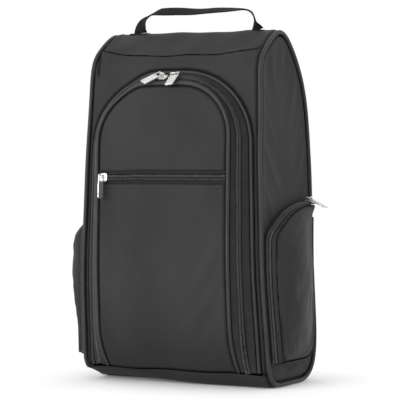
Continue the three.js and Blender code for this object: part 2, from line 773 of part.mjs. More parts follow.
function sideTape(side, direction) {
  const end = (k) => (direction < 0 ? (GAP - SIDE_ZIP_STAND) / Math.sin(SIDE_ZIP_TILT) + 0.1 : seamAcross(k) - 0.5);
  const at = (out) => (i, k) => bySideZip(side, k, lerp(direction * TAPE_START, end(k), i), out);
  return slab(1, SIDE_STEPS, at(TAPE / 2), at(-TAPE / 2));
}

// ---------- Sliders and pullers ----------

const box = (x0, x1, y0, y1, z0, z1) =>
  wasm.Manifold.cube([x1 - x0, y1 - y0, z1 - z0]).translate([x0, y0, z0]);

// Slider in its own frame: x along the zip, y across it, z out. Its plates reach from y = from to y = to.
// A slider at an opening edge stops at the middle of its zip, so that the other edge can swing clear.
function sliderSolid({ from, to, bailY }) {
  const length = SLIDER_HALF_LENGTH;
  const nose = 1.4;
  const shoulders = box(-length, length, from / 2, to / 2, SLIDER_PLATE_IN, SLIDER_PLATE_OUT);
  const middle = box(-length + nose, length - nose, from, to, SLIDER_PLATE_IN, SLIDER_PLATE_OUT);
  const lowPlate = box(-length, length, from, to, -SLIDER_PLATE_OUT, -SLIDER_PLATE_IN);
  const wedge = box(-2.2, 2.2, -0.4, 0.4, -SLIDER_PLATE_IN - 0.2, SLIDER_PLATE_IN + 0.2);
  const wire = BAIL_WIRE / 2;
  const top = BAIL_WIRE_MIDDLE + wire;
  const foot = SLIDER_PLATE_OUT - 0.2;
  const end = BAIL_HALF_SPAN + wire;
  const legA = box(-end, -end + BAIL_WIRE, bailY - 0.8, bailY + 0.8, foot, top);
  const legB = box(end - BAIL_WIRE, end, bailY - 0.8, bailY + 0.8, foot, top);
  const bar = box(-end, end, bailY - wire, bailY + wire, top - BAIL_WIRE, top);
  return [middle, lowPlate, wedge, legA, legB, bar].reduce((sum, piece) => sum.add(piece), shoulders);
}

function geometryOf(solid) {
  const { vertProperties, triVerts, numProp } = solid.getMesh();
  const positions = [];
  for (let i = 0; i < vertProperties.length; i += numProp) positions.push(...vertProperties.slice(i, i + 3));
  return closedGeometry(positions, [...triVerts]);
}

// Puller tab: [u across, v along], with the bail near v = 0 and the tip at PULLER_TIP.
const PULLER_TIP = 23;
const PULLER_RIGHT_EDGE = [
  [3.4, -2.4],
  [4.2, -1.7],
  [4.2, 4.6],
  [4.8, 7],
  [4.8, 18.4],
  [4.3, 19],
  [4.8, 19.6],
  [4.8, PULLER_TIP - 1],
  [3.8, PULLER_TIP],
];
const PULLER_OUTLINE = [...PULLER_RIGHT_EDGE, ...PULLER_RIGHT_EDGE.map(([u, v]) => [-u, v]).reverse()];
const PULLER_EYE = [
  [-2.9, -1],
  [2.9, -1],
  [2.9, 4.4],
  [-2.9, 4.4],
];
const PULLER_THICKNESS = 1.2;

// A puller lying over its slider: turned in the slider's plane, drooping below it, at a point of its frame.
function lyingPuller({ at, turn = 0, droop = 0 }) {
  const a = radians(turn);
  const b = radians(droop);
  const lengthwise = vec(Math.sin(a), Math.cos(a) * Math.cos(b), -Math.cos(a) * Math.sin(b));
  const out = vec(0, Math.sin(b), Math.cos(b));
  const crosswise = lengthwise.clone().cross(out);
  return pullerPlate(at, crosswise, lengthwise, out);
}

// A puller hanging edge-on below its bail, its width standing out of the zip.
const hangingPuller = ({ at }) => pullerPlate(at, vec(0, 0, 1), vec(0, -1, 0), vec(1, 0, 0));

function pullerPlate(at, crosswise, lengthwise, out) {
  const place = (u, v, h) =>
    vec(...at).addScaledVector(crosswise, u).addScaledVector(lengthwise, v).addScaledVector(out, h);
  return plate(PULLER_OUTLINE, [PULLER_EYE], -PULLER_THICKNESS / 2, PULLER_THICKNESS / 2, place);
}

// ---------- Handle ----------

// Middle line of the strap as [x, z] with the turn of its width out of the plane of the handle.
const HANDLE_LINE = [
  [-70, 382.2, 0],
  [-70, 386, 0],
  [-68, 389.6, 4],
  [-62.5, 393.6, 24],
  [-55.5, 398.8, 62],
  [-47, 401.6, 85],
  [-34, 402.6, 90],
  [-10, 402.9, 90],
  [14, 402.4, 90],
  [38, 402.5, 90],
  [54, 402.3, 90],
  [63.5, 400.2, 84],
  [69, 395.8, 52],
  [70.8, 390.4, 14],
  [70.6, 386, 0],
  [70.5, 382.2, 0],
];
const HANDLE_Y = 4;

function handleStrap() {
  const last = HANDLE_LINE.length - 1;
  const sections = HANDLE_LINE.map(([x, z, turn], k) => {
    const [x0, z0] = HANDLE_LINE[Math.max(k - 1, 0)];
    const [x1, z1] = HANDLE_LINE[Math.min(k + 1, last)];
    const tangent = vec(x1 - x0, 0, z1 - z0).normalize();
    if (k === 0 || k === last) tangent.set(0, 0, k === 0 ? 1 : -1);
    const inPlane = vec(0, 1, 0).cross(tangent);
    const angle = radians(turn);
    const wide = inPlane.clone().multiplyScalar(Math.cos(angle)).add(vec(0, Math.sin(angle), 0));
    const thick = tangent.clone().cross(wide);
    return [
      [-1, -1],
      [1, -1],
      [1, 1],
      [-1, 1],
    ].map(([i, j]) =>
      vec(x, HANDLE_Y, z)
        .addScaledVector(wide, (i * STRAP_WIDTH) / 2)
        .addScaledVector(thick, (j * STRAP_THICKNESS) / 2),
    );
  });
  return loft(sections, false);
}

// Reinforcing patch on the ridge under each foot of the handle.
function handleAnchor(side) {
  const ridge = profile[ridgeIndex].s;
  const at = (n) => (i, j) => shell(side * 70.3 + 11 * (i - 1), ridge + 6 * (j / 3 - 1), n);
  return slab(2, 6, at(1.2), at(GAP));
}

// ---------- The assembly ----------

const root = new THREE.Group();
root.name = "golf_shoe_bag";
root.position.y = CENTRE_SHIFT_Y;

function add(name, geometry, material, parent = root) {
  const mesh = new THREE.Mesh(geometry, material);
  mesh.name = name;
  parent.add(mesh);
  return mesh;
}

// A slider and its puller in the frame of its zip: y across towards the moving edge, z out of the zip.
function addSlider(name, { origin, across, out, plates, puller }) {
  const frame = new THREE.Group();
  frame.name = `${name}_frame`;
  frame.matrixAutoUpdate = false;
  frame.matrix.makeBasis(across.clone().cross(out), across, out).setPosition(origin);
  root.add(frame);
  add(`${name}_slider`, geometryOf(sliderSolid(plates)), nickel(), frame);
  add(`${name}_puller`, puller, nickel(), frame);
}

for (const [side, hand] of [[-1, "left"], [1, "right"]]) {
  add(`side_panel_${hand}`, sidePanel(side), shellCloth());
  add(`corner_piping_${hand}`, cornerPiping(side), pipingCloth());
  add(`side_pocket_face_${hand}`, sidePocketFace(side), shellCloth());
  add(`side_pocket_gusset_${hand}`, sideGusset(side), shellCloth());
  add(`side_flap_${hand}`, sideFlap(side), shellCloth());
  add(`side_zip_tape_panel_${hand}`, sideTape(side, -1), tapeCloth());
  add(`side_zip_tape_flap_${hand}`, sideTape(side, 1), tapeCloth());
  add(`side_zip_coil_panel_${hand}`, sideCoil(side, -1), coilPlastic());
  add(`side_zip_coil_flap_${hand}`, sideCoil(side, 1), coilPlastic());
}
add("top_panel", topPanel(), shellCloth());
add("back_panel", backPanel(), shellCloth());
add("base_panel", basePanel(), shellCloth());
add("base_board", baseBoard(), stiffener());
add("front_frame", frontFrame(), shellCloth());
add("opening_piping", openingPiping(), pipingCloth());
add("main_zip_tape_shell", mainTape(-1, openingPoint, OPENING_PIPING_RADIUS), tapeCloth());
add("main_zip_coil_shell", mainCoil(-1), coilPlastic());
add("main_zip_tape_door", mainTape(1, doorEdgePoint, DOOR_PIPING_RADIUS), tapeCloth());
add("main_zip_coil_door", mainCoil(1), coilPlastic());
add("door_piping", doorPiping(), pipingCloth());
add("door_face_upper", doorFaceUpper(), shellCloth());
add("door_face_lower", doorFaceLower(), shellCloth());
add("door_backing", doorBacking(), shellCloth());
add("pocket_zip_tape_upper", pocketZipBar(1, TAPE_START, POCKET_TAPE_REACH, TAPE), tapeCloth());
add("pocket_zip_tape_lower", pocketZipBar(-1, TAPE_START, POCKET_TAPE_REACH, TAPE), tapeCloth());
add("pocket_zip_coil_upper", pocketZipBar(1, COIL_INNER, COIL_OUTER, 2 * COIL_HALF_THICKNESS), coilPlastic());
add("pocket_zip_coil_lower", pocketZipBar(-1, COIL_INNER, COIL_OUTER, 2 * COIL_HALF_THICKNESS), coilPlastic());

add("handle_strap", handleStrap(), webbing());
add("handle_anchor_left", handleAnchor(-1), webbing());
add("handle_anchor_right", handleAnchor(1), webbing());

// Both door sliders are parked just each side of the middle of the arch.
const MAIN_REST = 96.43; // degrees round the arch corner from the side of the door
function mainFrame(side) {
  const angle = radians(MAIN_REST);
  const at = (radius) =>
    [side * (ZIP.cornerX + radius * Math.cos(angle)), ZIP.cornerZ + radius * Math.sin(angle)];
  const [x, z] = at(ZIP.radius);
  const [xIn, zIn] = at(ZIP.radius - 1);
  const stand = 0.475 * DOOR_STAND;
  const origin = front(x, z, stand);
  const normal = frontNormal(z);
  const inward = front(xIn, zIn, stand).sub(origin).normalize();
  const tilt = Math.atan2(0.8 * DOOR_STAND, 12);
  const across = inward.clone().multiplyScalar(Math.cos(tilt)).addScaledVector(normal, Math.sin(tilt));
  const out = normal.clone().multiplyScalar(Math.cos(tilt)).addScaledVector(inward, -Math.sin(tilt));
  return { origin, across, out };
}
const ridesShell = { from: -SLIDER_HALF_WIDTH, to: 0.5, bailY: -BAIL_OFFSET };
const ridesFlap = { from: -0.5, to: SLIDER_FLAP_REACH, bailY: BAIL_OFFSET };
const ridesBoth = { from: -SLIDER_HALF_WIDTH, to: SLIDER_HALF_WIDTH, bailY: 0 };
addSlider("main_left", {
  ...mainFrame(-1),
  plates: ridesShell,
  puller: lyingPuller({ at: [3.216, -1.54, 5], turn: 28 }),
});
addSlider("main_right", {
  ...mainFrame(1),
  plates: ridesShell,
  puller: lyingPuller({ at: [-3.55, -1.2, 5] }),
});

const POCKET_SLIDER_X = -69;
addSlider("pocket", {
  origin: onPocketZip(POCKET_SLIDER_X, 0, 0),
  across: pocketZipUp,
  out: pocketZipNormal,
  plates: ridesBoth,
  puller: hangingPuller({ at: [0, 0, 7.45] }),
});

// Each side slider is parked at the rear end of its zip, its puller drooping over the pocket.
const SIDE_REST = 88;
function sideFrame(side) {
  const angle = radians(SIDE_REST);
  const [y, z] = onSideArc(angle);
  const origin = sidePoint(side, y, z, SIDE_ZIP_STAND);
  const outwards = sidePoint(side, y, z, SIDE_ZIP_STAND + 1).sub(origin).normalize();
  const deeper = sidePoint(side, y - Math.cos(angle), z - Math.sin(angle), SIDE_ZIP_STAND);
  const inward = deeper.sub(origin).normalize();
  const tilt = SIDE_ZIP_TILT;
  const across = inward.clone().multiplyScalar(Math.cos(tilt)).addScaledVector(outwards, Math.sin(tilt));
  const out = outwards.clone().multiplyScalar(Math.cos(tilt)).addScaledVector(inward, -Math.sin(tilt));
  return { origin, across, out };
}
for (const [side, hand] of [[-1, "left"], [1, "right"]]) {
  addSlider(`side_${hand}`, {
    ...sideFrame(side),
    plates: ridesFlap,
    puller: lyingPuller({ at: [side * 3.55, 0.2, 5], droop: 16 }),
  });
}

export default root;
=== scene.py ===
"""Looks of a standing golf shoe bag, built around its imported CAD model.

Fabric panels are fine closed meshes whose relief comes from a short cloth simulation, zip coils are
real helices, and seams carry separate thread stitches. Metres, in the frame of the CAD model.
"""

import json
import math

import bmesh
import bpy
import numpy as np
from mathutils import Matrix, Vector
from mathutils.bvhtree import BVHTree
from mathutils.kdtree import KDTree


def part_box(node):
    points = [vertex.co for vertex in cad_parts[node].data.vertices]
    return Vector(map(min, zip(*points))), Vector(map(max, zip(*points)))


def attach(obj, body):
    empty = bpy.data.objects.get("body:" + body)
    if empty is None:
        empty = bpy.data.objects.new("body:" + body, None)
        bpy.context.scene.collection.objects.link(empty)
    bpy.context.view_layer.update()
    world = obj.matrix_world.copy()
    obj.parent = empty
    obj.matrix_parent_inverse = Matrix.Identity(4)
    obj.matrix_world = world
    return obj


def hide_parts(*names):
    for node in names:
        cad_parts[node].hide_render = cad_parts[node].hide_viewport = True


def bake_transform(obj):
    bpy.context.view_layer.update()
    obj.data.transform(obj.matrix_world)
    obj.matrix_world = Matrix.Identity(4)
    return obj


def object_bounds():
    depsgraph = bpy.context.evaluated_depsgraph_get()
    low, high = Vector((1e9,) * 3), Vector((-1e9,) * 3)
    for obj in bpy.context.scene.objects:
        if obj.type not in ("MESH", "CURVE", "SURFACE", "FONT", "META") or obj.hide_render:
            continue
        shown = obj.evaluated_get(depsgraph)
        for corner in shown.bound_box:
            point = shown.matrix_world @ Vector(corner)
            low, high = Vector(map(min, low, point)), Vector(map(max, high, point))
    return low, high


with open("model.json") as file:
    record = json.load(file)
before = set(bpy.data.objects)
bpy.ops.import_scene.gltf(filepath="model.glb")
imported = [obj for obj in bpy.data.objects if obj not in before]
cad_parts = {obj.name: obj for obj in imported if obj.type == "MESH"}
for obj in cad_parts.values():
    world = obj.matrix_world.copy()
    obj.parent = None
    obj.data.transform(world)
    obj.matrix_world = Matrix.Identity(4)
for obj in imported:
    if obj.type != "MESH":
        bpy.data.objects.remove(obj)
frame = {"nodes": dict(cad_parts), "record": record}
CAD_LOW, CAD_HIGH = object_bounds()
NODES = frame["nodes"]
MM = 0.001
SIDES = (("left", -1), ("right", 1))


# ---------- Camera, light and floor ----------

def make_camera():
    """A long lens from the front right, a little above the middle of the bag."""
    azimuth = math.radians(27.5)
    distance = 2.150
    eye_height = 0.250
    middle_y = (CAD_LOW.y + CAD_HIGH.y) / 2
    target = Vector((0.006, middle_y + 0.0065, 0.197))
    eye = Vector((
        target.x + distance * math.sin(azimuth),
        target.y - distance * math.cos(azimuth),
        eye_height,
    ))
    data = bpy.data.cameras.new("camera")
    data.sensor_width = 36
    data.lens = 177.75
    camera = bpy.data.objects.new("camera", data)
    bpy.context.scene.collection.objects.link(camera)
    camera.location = eye
    camera.rotation_euler = (target - eye).to_track_quat("-Z", "Y").to_euler()
    bpy.context.scene.camera = camera


def make_light(name, place, size, power):
    data = bpy.data.lights.new(name, "AREA")
    data.shape = "RECTANGLE"
    data.size, data.size_y = size
    data.energy = power
    light = bpy.data.objects.new(name, data)
    bpy.context.scene.collection.objects.link(light)
    light.location = place
    aim = Vector((0, 0, 0.2)) - Vector(place)
    light.rotation_euler = aim.to_track_quat("-Z", "Y").to_euler()


def make_studio():
    """Even white surroundings, two soft boxes, and a pale floor that fades into the surroundings."""
    scene = bpy.context.scene
    scene.view_settings.view_transform = "Standard"
    world = bpy.data.worlds.new("world")
    scene.world = world
    world.use_nodes = True
    world.node_tree.nodes["Background"].inputs["Color"].default_value = (1, 1, 1, 1)
    world.node_tree.nodes["Background"].inputs["Strength"].default_value = 1.0
    make_light("key", (-0.9, -2.4, 0.8), (1.8, 1.5), 42)
    make_light("rear_right", (1.5, 1.7, 0.9), (0.7, 1.4), 1.0)

    mesh = bpy.data.meshes.new("floor")
    reach = 6.0
    corners = [(-reach, -reach, 0), (reach, -reach, 0), (reach, reach, 0), (-reach, reach, 0)]
    mesh.from_pydata(corners, [], [(0, 1, 2, 3)])
    floor = bpy.data.objects.new("floor", mesh)
    scene.collection.objects.link(floor)
    mesh.materials.append(floor_material())


# Half sizes of the rectangle under the bag that the floor's fade is measured from, and the distances
# from it at which the fade begins and ends.
FLOOR_CORE = (0.10, 0.06, 0)
FADE_BEGIN, FADE_END = -0.03, 0.13


def floor_material():
    """Pale paper under the bag that fades, within a hand's width of it, into the white surroundings."""
    material = bpy.data.materials.new("floor")
    material.use_nodes = True
    tree = material.node_tree
    tree.nodes.clear()
    add = tree.nodes.new
    link = tree.links.new

    def vector(operation, source, other=(0, 0, 0)):
        node = add("ShaderNodeVectorMath")
        node.operation = operation
        node.inputs[1].default_value = other
        link(source, node.inputs[0])
        return node.outputs

    across = vector("ABSOLUTE", add("ShaderNodeTexCoord").outputs["Object"])["Vector"]
    beyond = vector("SUBTRACT", across, FLOOR_CORE)["Vector"]
    outside = vector("MAXIMUM", beyond)["Vector"]
    fade = add("ShaderNodeMapRange")
    fade.interpolation_type = "SMOOTHSTEP"
    fade.inputs["From Min"].default_value = FADE_BEGIN
    fade.inputs["From Max"].default_value = FADE_END
    link(vector("LENGTH", outside)["Value"], fade.inputs["Value"])
    paper = add("ShaderNodeBsdfDiffuse")
    paper.inputs["Color"].default_value = (0.97, 0.97, 0.97, 1)
    glow = add("ShaderNodeEmission")
    glow.inputs["Color"].default_value = (1, 1, 1, 1)
    glow.inputs["Strength"].default_value = 1.02
    mix = add("ShaderNodeMixShader")
    link(fade.outputs["Result"], mix.inputs["Fac"])
    link(paper.outputs["BSDF"], mix.inputs[1])
    link(glow.outputs["Emission"], mix.inputs[2])
    link(mix.outputs["Shader"], add("ShaderNodeOutputMaterial").inputs["Surface"])
    return material


# ---------- Materials ----------

class Nodes:
    """Short calls for a material's node tree, around one Principled shader."""

    def __init__(self, name, **sockets):
        self.material = bpy.data.materials.new(name)
        self.material.use_nodes = True
        self.tree = self.material.node_tree
        self.shader = self.tree.nodes["Principled BSDF"]
        for socket, value in sockets.items():
            self.shader.inputs[socket.replace("_", " ")].default_value = value
        self.place = self.tree.nodes.new("ShaderNodeTexCoord").outputs["Object"]

    def link(self, a, b):
        self.tree.links.new(a, b)

    def noise(self, scale, detail=3.0, stretch=(1, 1, 1)):
        mapping = self.tree.nodes.new("ShaderNodeMapping")
        mapping.inputs["Scale"].default_value = stretch
        noise = self.tree.nodes.new("ShaderNodeTexNoise")
        noise.inputs["Scale"].default_value = scale
        noise.inputs["Detail"].default_value = detail
        self.link(self.place, mapping.inputs["Vector"])
        self.link(mapping.outputs["Vector"], noise.inputs["Vector"])
        return noise.outputs["Fac"]

    def math(self, operation, a, b=None):
        node = self.tree.nodes.new("ShaderNodeMath")
        node.operation = operation
        for socket, value in zip(node.inputs, (a, b)):
            if value is None:
                continue
            if isinstance(value, (int, float)):
                socket.default_value = value
            else:
                self.link(value, socket)
        return node.outputs[0]

    def span(self, value, low, high):
        node = self.tree.nodes.new("ShaderNodeMapRange")
        node.inputs["To Min"].default_value = low
        node.inputs["To Max"].default_value = high
        self.link(value, node.inputs["Value"])
        return node.outputs["Result"]

    def tint(self, value, dark, light):
        """Colour from dark to light as value goes from 0.3 to 0.7."""
        ramp = self.tree.nodes.new("ShaderNodeValToRGB")
        ramp.color_ramp.elements[0].position = 0.3
        ramp.color_ramp.elements[0].color = (*dark, 1)
        ramp.color_ramp.elements[1].position = 0.7
        ramp.color_ramp.elements[1].color = (*light, 1)
        self.link(value, ramp.inputs["Fac"])
        return ramp.outputs["Color"]

    def painted_seam_shade(self, colour):
        """The colour where cloth shows, and painted shade, near black, down in the seams."""
        seam = self.tree.nodes.new("ShaderNodeAttribute")
        seam.attribute_name = "seam"
        mix = self.tree.nodes.new("ShaderNodeMixRGB")
        # Near black painted shade, mixed in by the seam attribute.
        mix.inputs["Color2"].default_value = (0.0018, 0.0018, 0.0018, 1)
        self.link(seam.outputs["Fac"], mix.inputs["Fac"])
        self.link(colour, mix.inputs["Color1"])
        return mix.outputs["Color"]

    def painted_low_shade(self, colour, top=0.11, most=0.30):
        """The colour, darkened by painted shade from a height of top metres down to the floor."""
        parts = self.tree.nodes.new("ShaderNodeSeparateXYZ")
        self.link(self.place, parts.inputs["Vector"])
        low_shade = self.tree.nodes.new("ShaderNodeMapRange")
        low_shade.interpolation_type = "SMOOTHSTEP"
        low_shade.inputs["From Max"].default_value = top
        low_shade.inputs["To Min"].default_value = most
        low_shade.inputs["To Max"].default_value = 0.0
        self.link(parts.outputs["Z"], low_shade.inputs["Value"])
        mix = self.tree.nodes.new("ShaderNodeMixRGB")
        # Near black painted shade towards the floor.
        mix.inputs["Color2"].default_value = (0.006, 0.006, 0.006, 1)
        self.link(low_shade.outputs["Result"], mix.inputs["Fac"])
        self.link(colour, mix.inputs["Color1"])
        return mix.outputs["Color"]

    def weave(self, pitch, slant=0.0):
        """Height of a plain weave whose threads cross along the surface of upright and level panels."""
        parts = self.tree.nodes.new("ShaderNodeSeparateXYZ")
        self.link(self.place, parts.inputs["Vector"])
        x, y, z = parts.outputs
        turn = 2 * math.pi / pitch
        across = self.math("MULTIPLY", self.math("ADD", x, y), turn)
        up = self.math("ADD", z, self.math("MULTIPLY", y, 0.6))
        if slant:
            up = self.math("ADD", up, self.math("MULTIPLY", x, slant))
        up = self.math("MULTIPLY", up, turn)
        return self.math("MULTIPLY", self.math("SINE", across), self.math("SINE", up))

    def finish(self, colour, scuff, smooth, rough):
        """Sets the colour, and a roughness that goes from smooth to rough with scuff."""
        self.link(colour, self.shader.inputs["Base Color"])
        self.link(self.span(scuff, smooth, rough), self.shader.inputs["Roughness"])

    def bump(self, height, strength, distance):
        node = self.tree.nodes.new("ShaderNodeBump")
        node.inputs["Strength"].default_value = strength
        node.inputs["Distance"].default_value = distance
        self.link(height, node.inputs["Height"])
        self.link(node.outputs["Normal"], self.shader.inputs["Normal"])


def shell_fabric():
    """Coated nylon: a fine plain weave, a faint mottle, a dull sheen."""
    n = Nodes("shell_fabric", Specular_IOR_Level=0.10, Sheen_Weight=0.02, Sheen_Roughness=0.45)
    mottle = n.noise(14, 4, (1, 1, 0.45))
    colour = n.tint(mottle, (0.0218, 0.0224, 0.0222), (0.0318, 0.0325, 0.0322))
    # Painted shade darkens the colour down in the seams and towards the floor.
    n.finish(n.painted_seam_shade(n.painted_low_shade(colour)), n.noise(40, 3), 0.50, 0.64)
    slubs = n.noise(900, 2, (1, 1, 0.3))
    height = n.math("ADD", n.weave(0.9 * MM), n.math("MULTIPLY", slubs, 0.9))
    n.bump(height, 0.20, 0.00012)
    return n.material


def piping_fabric():
    """The same cloth cut on the bias and pulled over a cord."""
    n = Nodes("piping_fabric", Specular_IOR_Level=0.34, Sheen_Weight=0.04)
    colour = n.tint(n.noise(60, 3), (0.0180, 0.0185, 0.0184), (0.0275, 0.0282, 0.0280))
    # Painted shade darkens the colour down in the seams and towards the floor.
    n.finish(n.painted_seam_shade(n.painted_low_shade(colour)), n.noise(120, 2), 0.46, 0.60)
    height = n.math("ADD", n.weave(0.9 * MM, 1.0), n.noise(260, 2))
    n.bump(height, 0.22, 0.00015)
    return n.material


def zip_tape(name, dark, light):
    """Woven polyester tape with fine ribs, a trace cooler than grey."""
    n = Nodes(name, Specular_IOR_Level=0.26, Sheen_Weight=0.03)
    dark, light = ((grey, grey * 1.03, grey * 1.03) for grey in (dark, light))
    colour = n.tint(n.noise(90, 3), dark, light)
    # Painted shade darkens the tape down in the seams.
    n.finish(n.painted_seam_shade(colour), n.noise(200, 2), 0.62, 0.76)
    n.bump(n.weave(1.2 * MM, 1.0), 0.35, 0.0002)
    return n.material


def zip_coil():
    """Moulded nylon monofilament, a little scuffed."""
    n = Nodes("zip_coil", Specular_IOR_Level=0.5)
    colour = n.tint(n.noise(300, 2), (0.050, 0.052, 0.052), (0.105, 0.108, 0.108))
    n.finish(colour, n.noise(500, 2), 0.26, 0.42)
    n.bump(n.noise(2500, 2), 0.08, 0.00005)
    return n.material


def webbing():
    """Flat woven strap with ribs across it."""
    n = Nodes("webbing", Specular_IOR_Level=0.12, Sheen_Weight=0.01)
    colour = n.tint(n.noise(70, 3), (0.0034, 0.0035, 0.0035), (0.0068, 0.0070, 0.0070))
    n.finish(colour, n.noise(160, 2), 0.62, 0.78)
    n.bump(n.weave(1.5 * MM), 0.5, 0.0003)
    return n.material


def base_stiffener():
    """Extruded board with a fine pebble grain."""
    n = Nodes("base_stiffener", Specular_IOR_Level=0.4)
    colour = n.tint(n.noise(50, 2), (0.012, 0.012, 0.012), (0.020, 0.020, 0.020))
    n.finish(colour, n.noise(90, 2), 0.40, 0.55)
    n.bump(n.noise(700, 2), 0.2, 0.0002)
    return n.material


def nickel():
    """Bright plate, with soft handling marks that dull it in places."""
    n = Nodes("nickel", Metallic=0.78)
    colour = n.tint(n.noise(180, 3), (0.58, 0.577, 0.565), (0.80, 0.798, 0.785))
    n.finish(colour, n.noise(420, 4), 0.26, 0.44)
    n.bump(n.noise(1200, 2), 0.05, 0.00005)
    return n.material


def thread():
    """Twisted sewing thread, a shade lighter than the cloth."""
    n = Nodes("thread", Specular_IOR_Level=0.4, Sheen_Weight=0.05)
    colour = n.tint(n.noise(500, 2), (0.022, 0.024, 0.0235), (0.040, 0.043, 0.042))
    n.finish(colour, n.noise(700, 2), 0.5, 0.66)
    n.bump(n.noise(3000, 2), 0.3, 0.00008)
    return n.material


MATERIALS = {
    "shell_fabric": shell_fabric(),
    "piping_fabric": piping_fabric(),
    "zip_tape": zip_tape("zip_tape", 0.0110, 0.0180),
    # The pocket zip's tape: a darker copy of the zip tape, painted shade for it lying under the door's
    # cloth edges.
    "shaded_pocket_tape": zip_tape("shaded_pocket_tape", 0.0045, 0.0080),
    "zip_coil": zip_coil(),
    "webbing": webbing(),
    "base_stiffener": base_stiffener(),
    "nickel": nickel(),
    "thread": thread(),
}
BODY_OF = {
    node: body
    for body, nodes in frame["record"]["behaviour"]["bodies"].items()
    for node in nodes
}
SLOT_OF = {part["node"]: part["material_slot"] for part in frame["record"]["subparts"]}
SEWN_SLOTS = ("shell_fabric", "piping_fabric", "zip_tape")
SEWN = [node for node, slot in SLOT_OF.items() if slot in SEWN_SLOTS]


# ---------- Reading the CAD nodes ----------

def cad_mesh(*nodes):
    """The CAD nodes as one bmesh with shared vertices."""
    bm = bmesh.new()
    for node in nodes:
        bm.from_mesh(NODES[node].data)
    bmesh.ops.remove_doubles(bm, verts=bm.verts, dist=0.00002)
    bm.normal_update()
    return bm


def tree_of(*nodes):
    bm = cad_mesh(*nodes)
    tree = BVHTree.FromBMesh(bm)
    bm.free()
    return tree


def coordinates(mesh, what="co"):
    """One row for each vertex: its place, or with "normal" its normal."""
    rows = np.empty(len(mesh.vertices) * 3, np.float32)
    mesh.vertices.foreach_get(what, rows)
    return rows.reshape(-1, 3).astype(float)


def set_coordinates(mesh, co):
    mesh.vertices.foreach_set("co", co.astype(np.float32).ravel())
    mesh.update()


def edge_tree(nodes, leave_out, spacing=0.0012, sharp=math.radians(55)):
    """Points along the sharp edges of flat CAD panels, which outline them.

    Points for which leave_out(point) is true are left out.
    """
    points = []
    for node in nodes:
        bm = cad_mesh(node)
        for edge in bm.edges:
            if len(edge.link_faces) == 2 and edge.calc_face_angle(0) > sharp:
                a, b = (v.co for v in edge.verts)
                steps = max(1, int((b - a).length / spacing))
                row = [a.lerp(b, k / steps) for k in range(steps + 1)]
                points += [p for p in row if leave_out is None or not leave_out(p)]
        bm.free()
    tree = KDTree(len(points))
    for index, point in enumerate(points):
        tree.insert(point, index)
    tree.balance()
    return tree


def rings(node, start, gap=0.0036):
    """The sections of a lofted CAD bar in order, from the end nearest start."""
    bm = cad_mesh(node)
    start = Vector(start)
    first = min(bm.verts, key=lambda v: (v.co - start).length)
    level = [v for v in bm.verts if (v.co - first.co).length < gap]
    seen = set(level)
    found = []
    while level:
        found.append(np.array([v.co[:] for v in level]))
        following = {e.other_vert(v) for v in level for e in v.link_edges}
        level = [v for v in following if v not in seen]
        seen.update(level)
    bm.free()
    return found


# ---------- Making pieces ----------

def smoothstep(t):
    t = np.clip(t, 0, 1)
    return t * t * (3 - 2 * t)


def rises(value, start, over):
    """0 up to start and 1 from start + over on, smooth between."""
    return smoothstep((value - start) / over)


def falls(value, start, over):
    return 1 - rises(value, start, over)


def near(value, middle, reach):
    """1 at middle, fading to 0 on both sides of it."""
    return np.exp(-(((value - middle) / reach) ** 2))


# Heights of the two front seams, and the large shared shifts of the sewn parts, in mm.
TOP_SEAM = 354
BASE_SEAM = 15
DOOR_OUTWARD = 2.6
SHOULDER_DROP = 4.5
CORNER_LIFT = 6.0
FOOT_INWARD = 4.5


def waver(co):
    """Small shared shift of everything sewn, in metres, so that panels, piping and zips wander together.

    On top of it the left of the door lies outward, the left shoulder of the arch is lower, and the front
    left corner of the base is rounded up and in.
    """
    x, y, z = (co / MM).T
    left, ahead = -x, -y
    free = rises(z, 0, 30)
    across = 0.5 * np.sin(z / 41 + 0.6) * np.sin(y / 33 + 1.1) + 0.25 * np.sin(z / 19 + y / 27)
    deep = 0.8 * np.sin(x / 34 + 0.7) * np.sin(z / 47 + 0.3) + 0.3 * np.sin(x / 17 + z / 29)
    top_seam = 0.9 * np.sin(x / 11.5 + 0.4) * np.sin(x / 37 + 1.0) * near(z, TOP_SEAM, 9)
    base_seam = 0.6 * np.sin(x / 12.0 + 2.1) * near(z, BASE_SEAM, 7)
    on_front = rises(ahead, 18, 12)
    door_zone = on_front * rises(left, -33, 45) * falls(left, 84, 20)
    low_side = falls(z, 322, 25) * (1 + 0.5 * falls(z, BASE_SEAM, 70))
    shoulder = rises(left, 22, 35) * falls(left, 92, 12) * on_front
    shoulder = shoulder * rises(z, 205, 70) * falls(z, 326, 26)
    low_front = rises(ahead, -5, 30)
    corner = rises(left, -40, 140) * low_front * falls(z, 3, 13)
    foot = rises(left, 80, 24) * low_front * falls(z, 0, 26)
    across = across * free - DOOR_OUTWARD * door_zone * low_side + FOOT_INWARD * foot
    up = rises(ahead, -10, 30) * (top_seam + base_seam) - SHOULDER_DROP * shoulder + CORNER_LIFT * corner
    return np.stack([across, deep * free, up], 1) * MM


def finish_piece(obj, name, nodes, body=None, material=None, rigid=False):
    """Names a new piece, gives it its finish, and joins it to its body in the frame unless body is given.

    body is a tuple (body, body, start, end) for cloth between two bodies; only whether it is given is read,
    and such a piece is left in place, not joined. A rigid piece moves whole.
    """
    obj.name = name
    obj.data.name = name
    slot = SLOT_OF[nodes[0]]
    obj.data.materials.clear()
    obj.data.materials.append(MATERIALS[material or slot])
    co = coordinates(obj.data)
    if rigid:
        co = co + waver(((co.min(0) + co.max(0)) / 2)[None, :])
    else:
        co = co + waver(co)
    set_coordinates(obj.data, co)
    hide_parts(*nodes)
    if body:
        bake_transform(obj)
    else:
        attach(obj, BODY_OF[nodes[0]])


def new_object(mesh, name="piece"):
    obj = bpy.data.objects.new(name, mesh)
    bpy.context.scene.collection.objects.link(obj)
    return obj


def object_from(bm, name="piece"):
    """A new object with the bmesh as its mesh. The bmesh is freed."""
    mesh = bpy.data.meshes.new(name)
    bm.to_mesh(mesh)
    bm.free()
    return new_object(mesh, name)


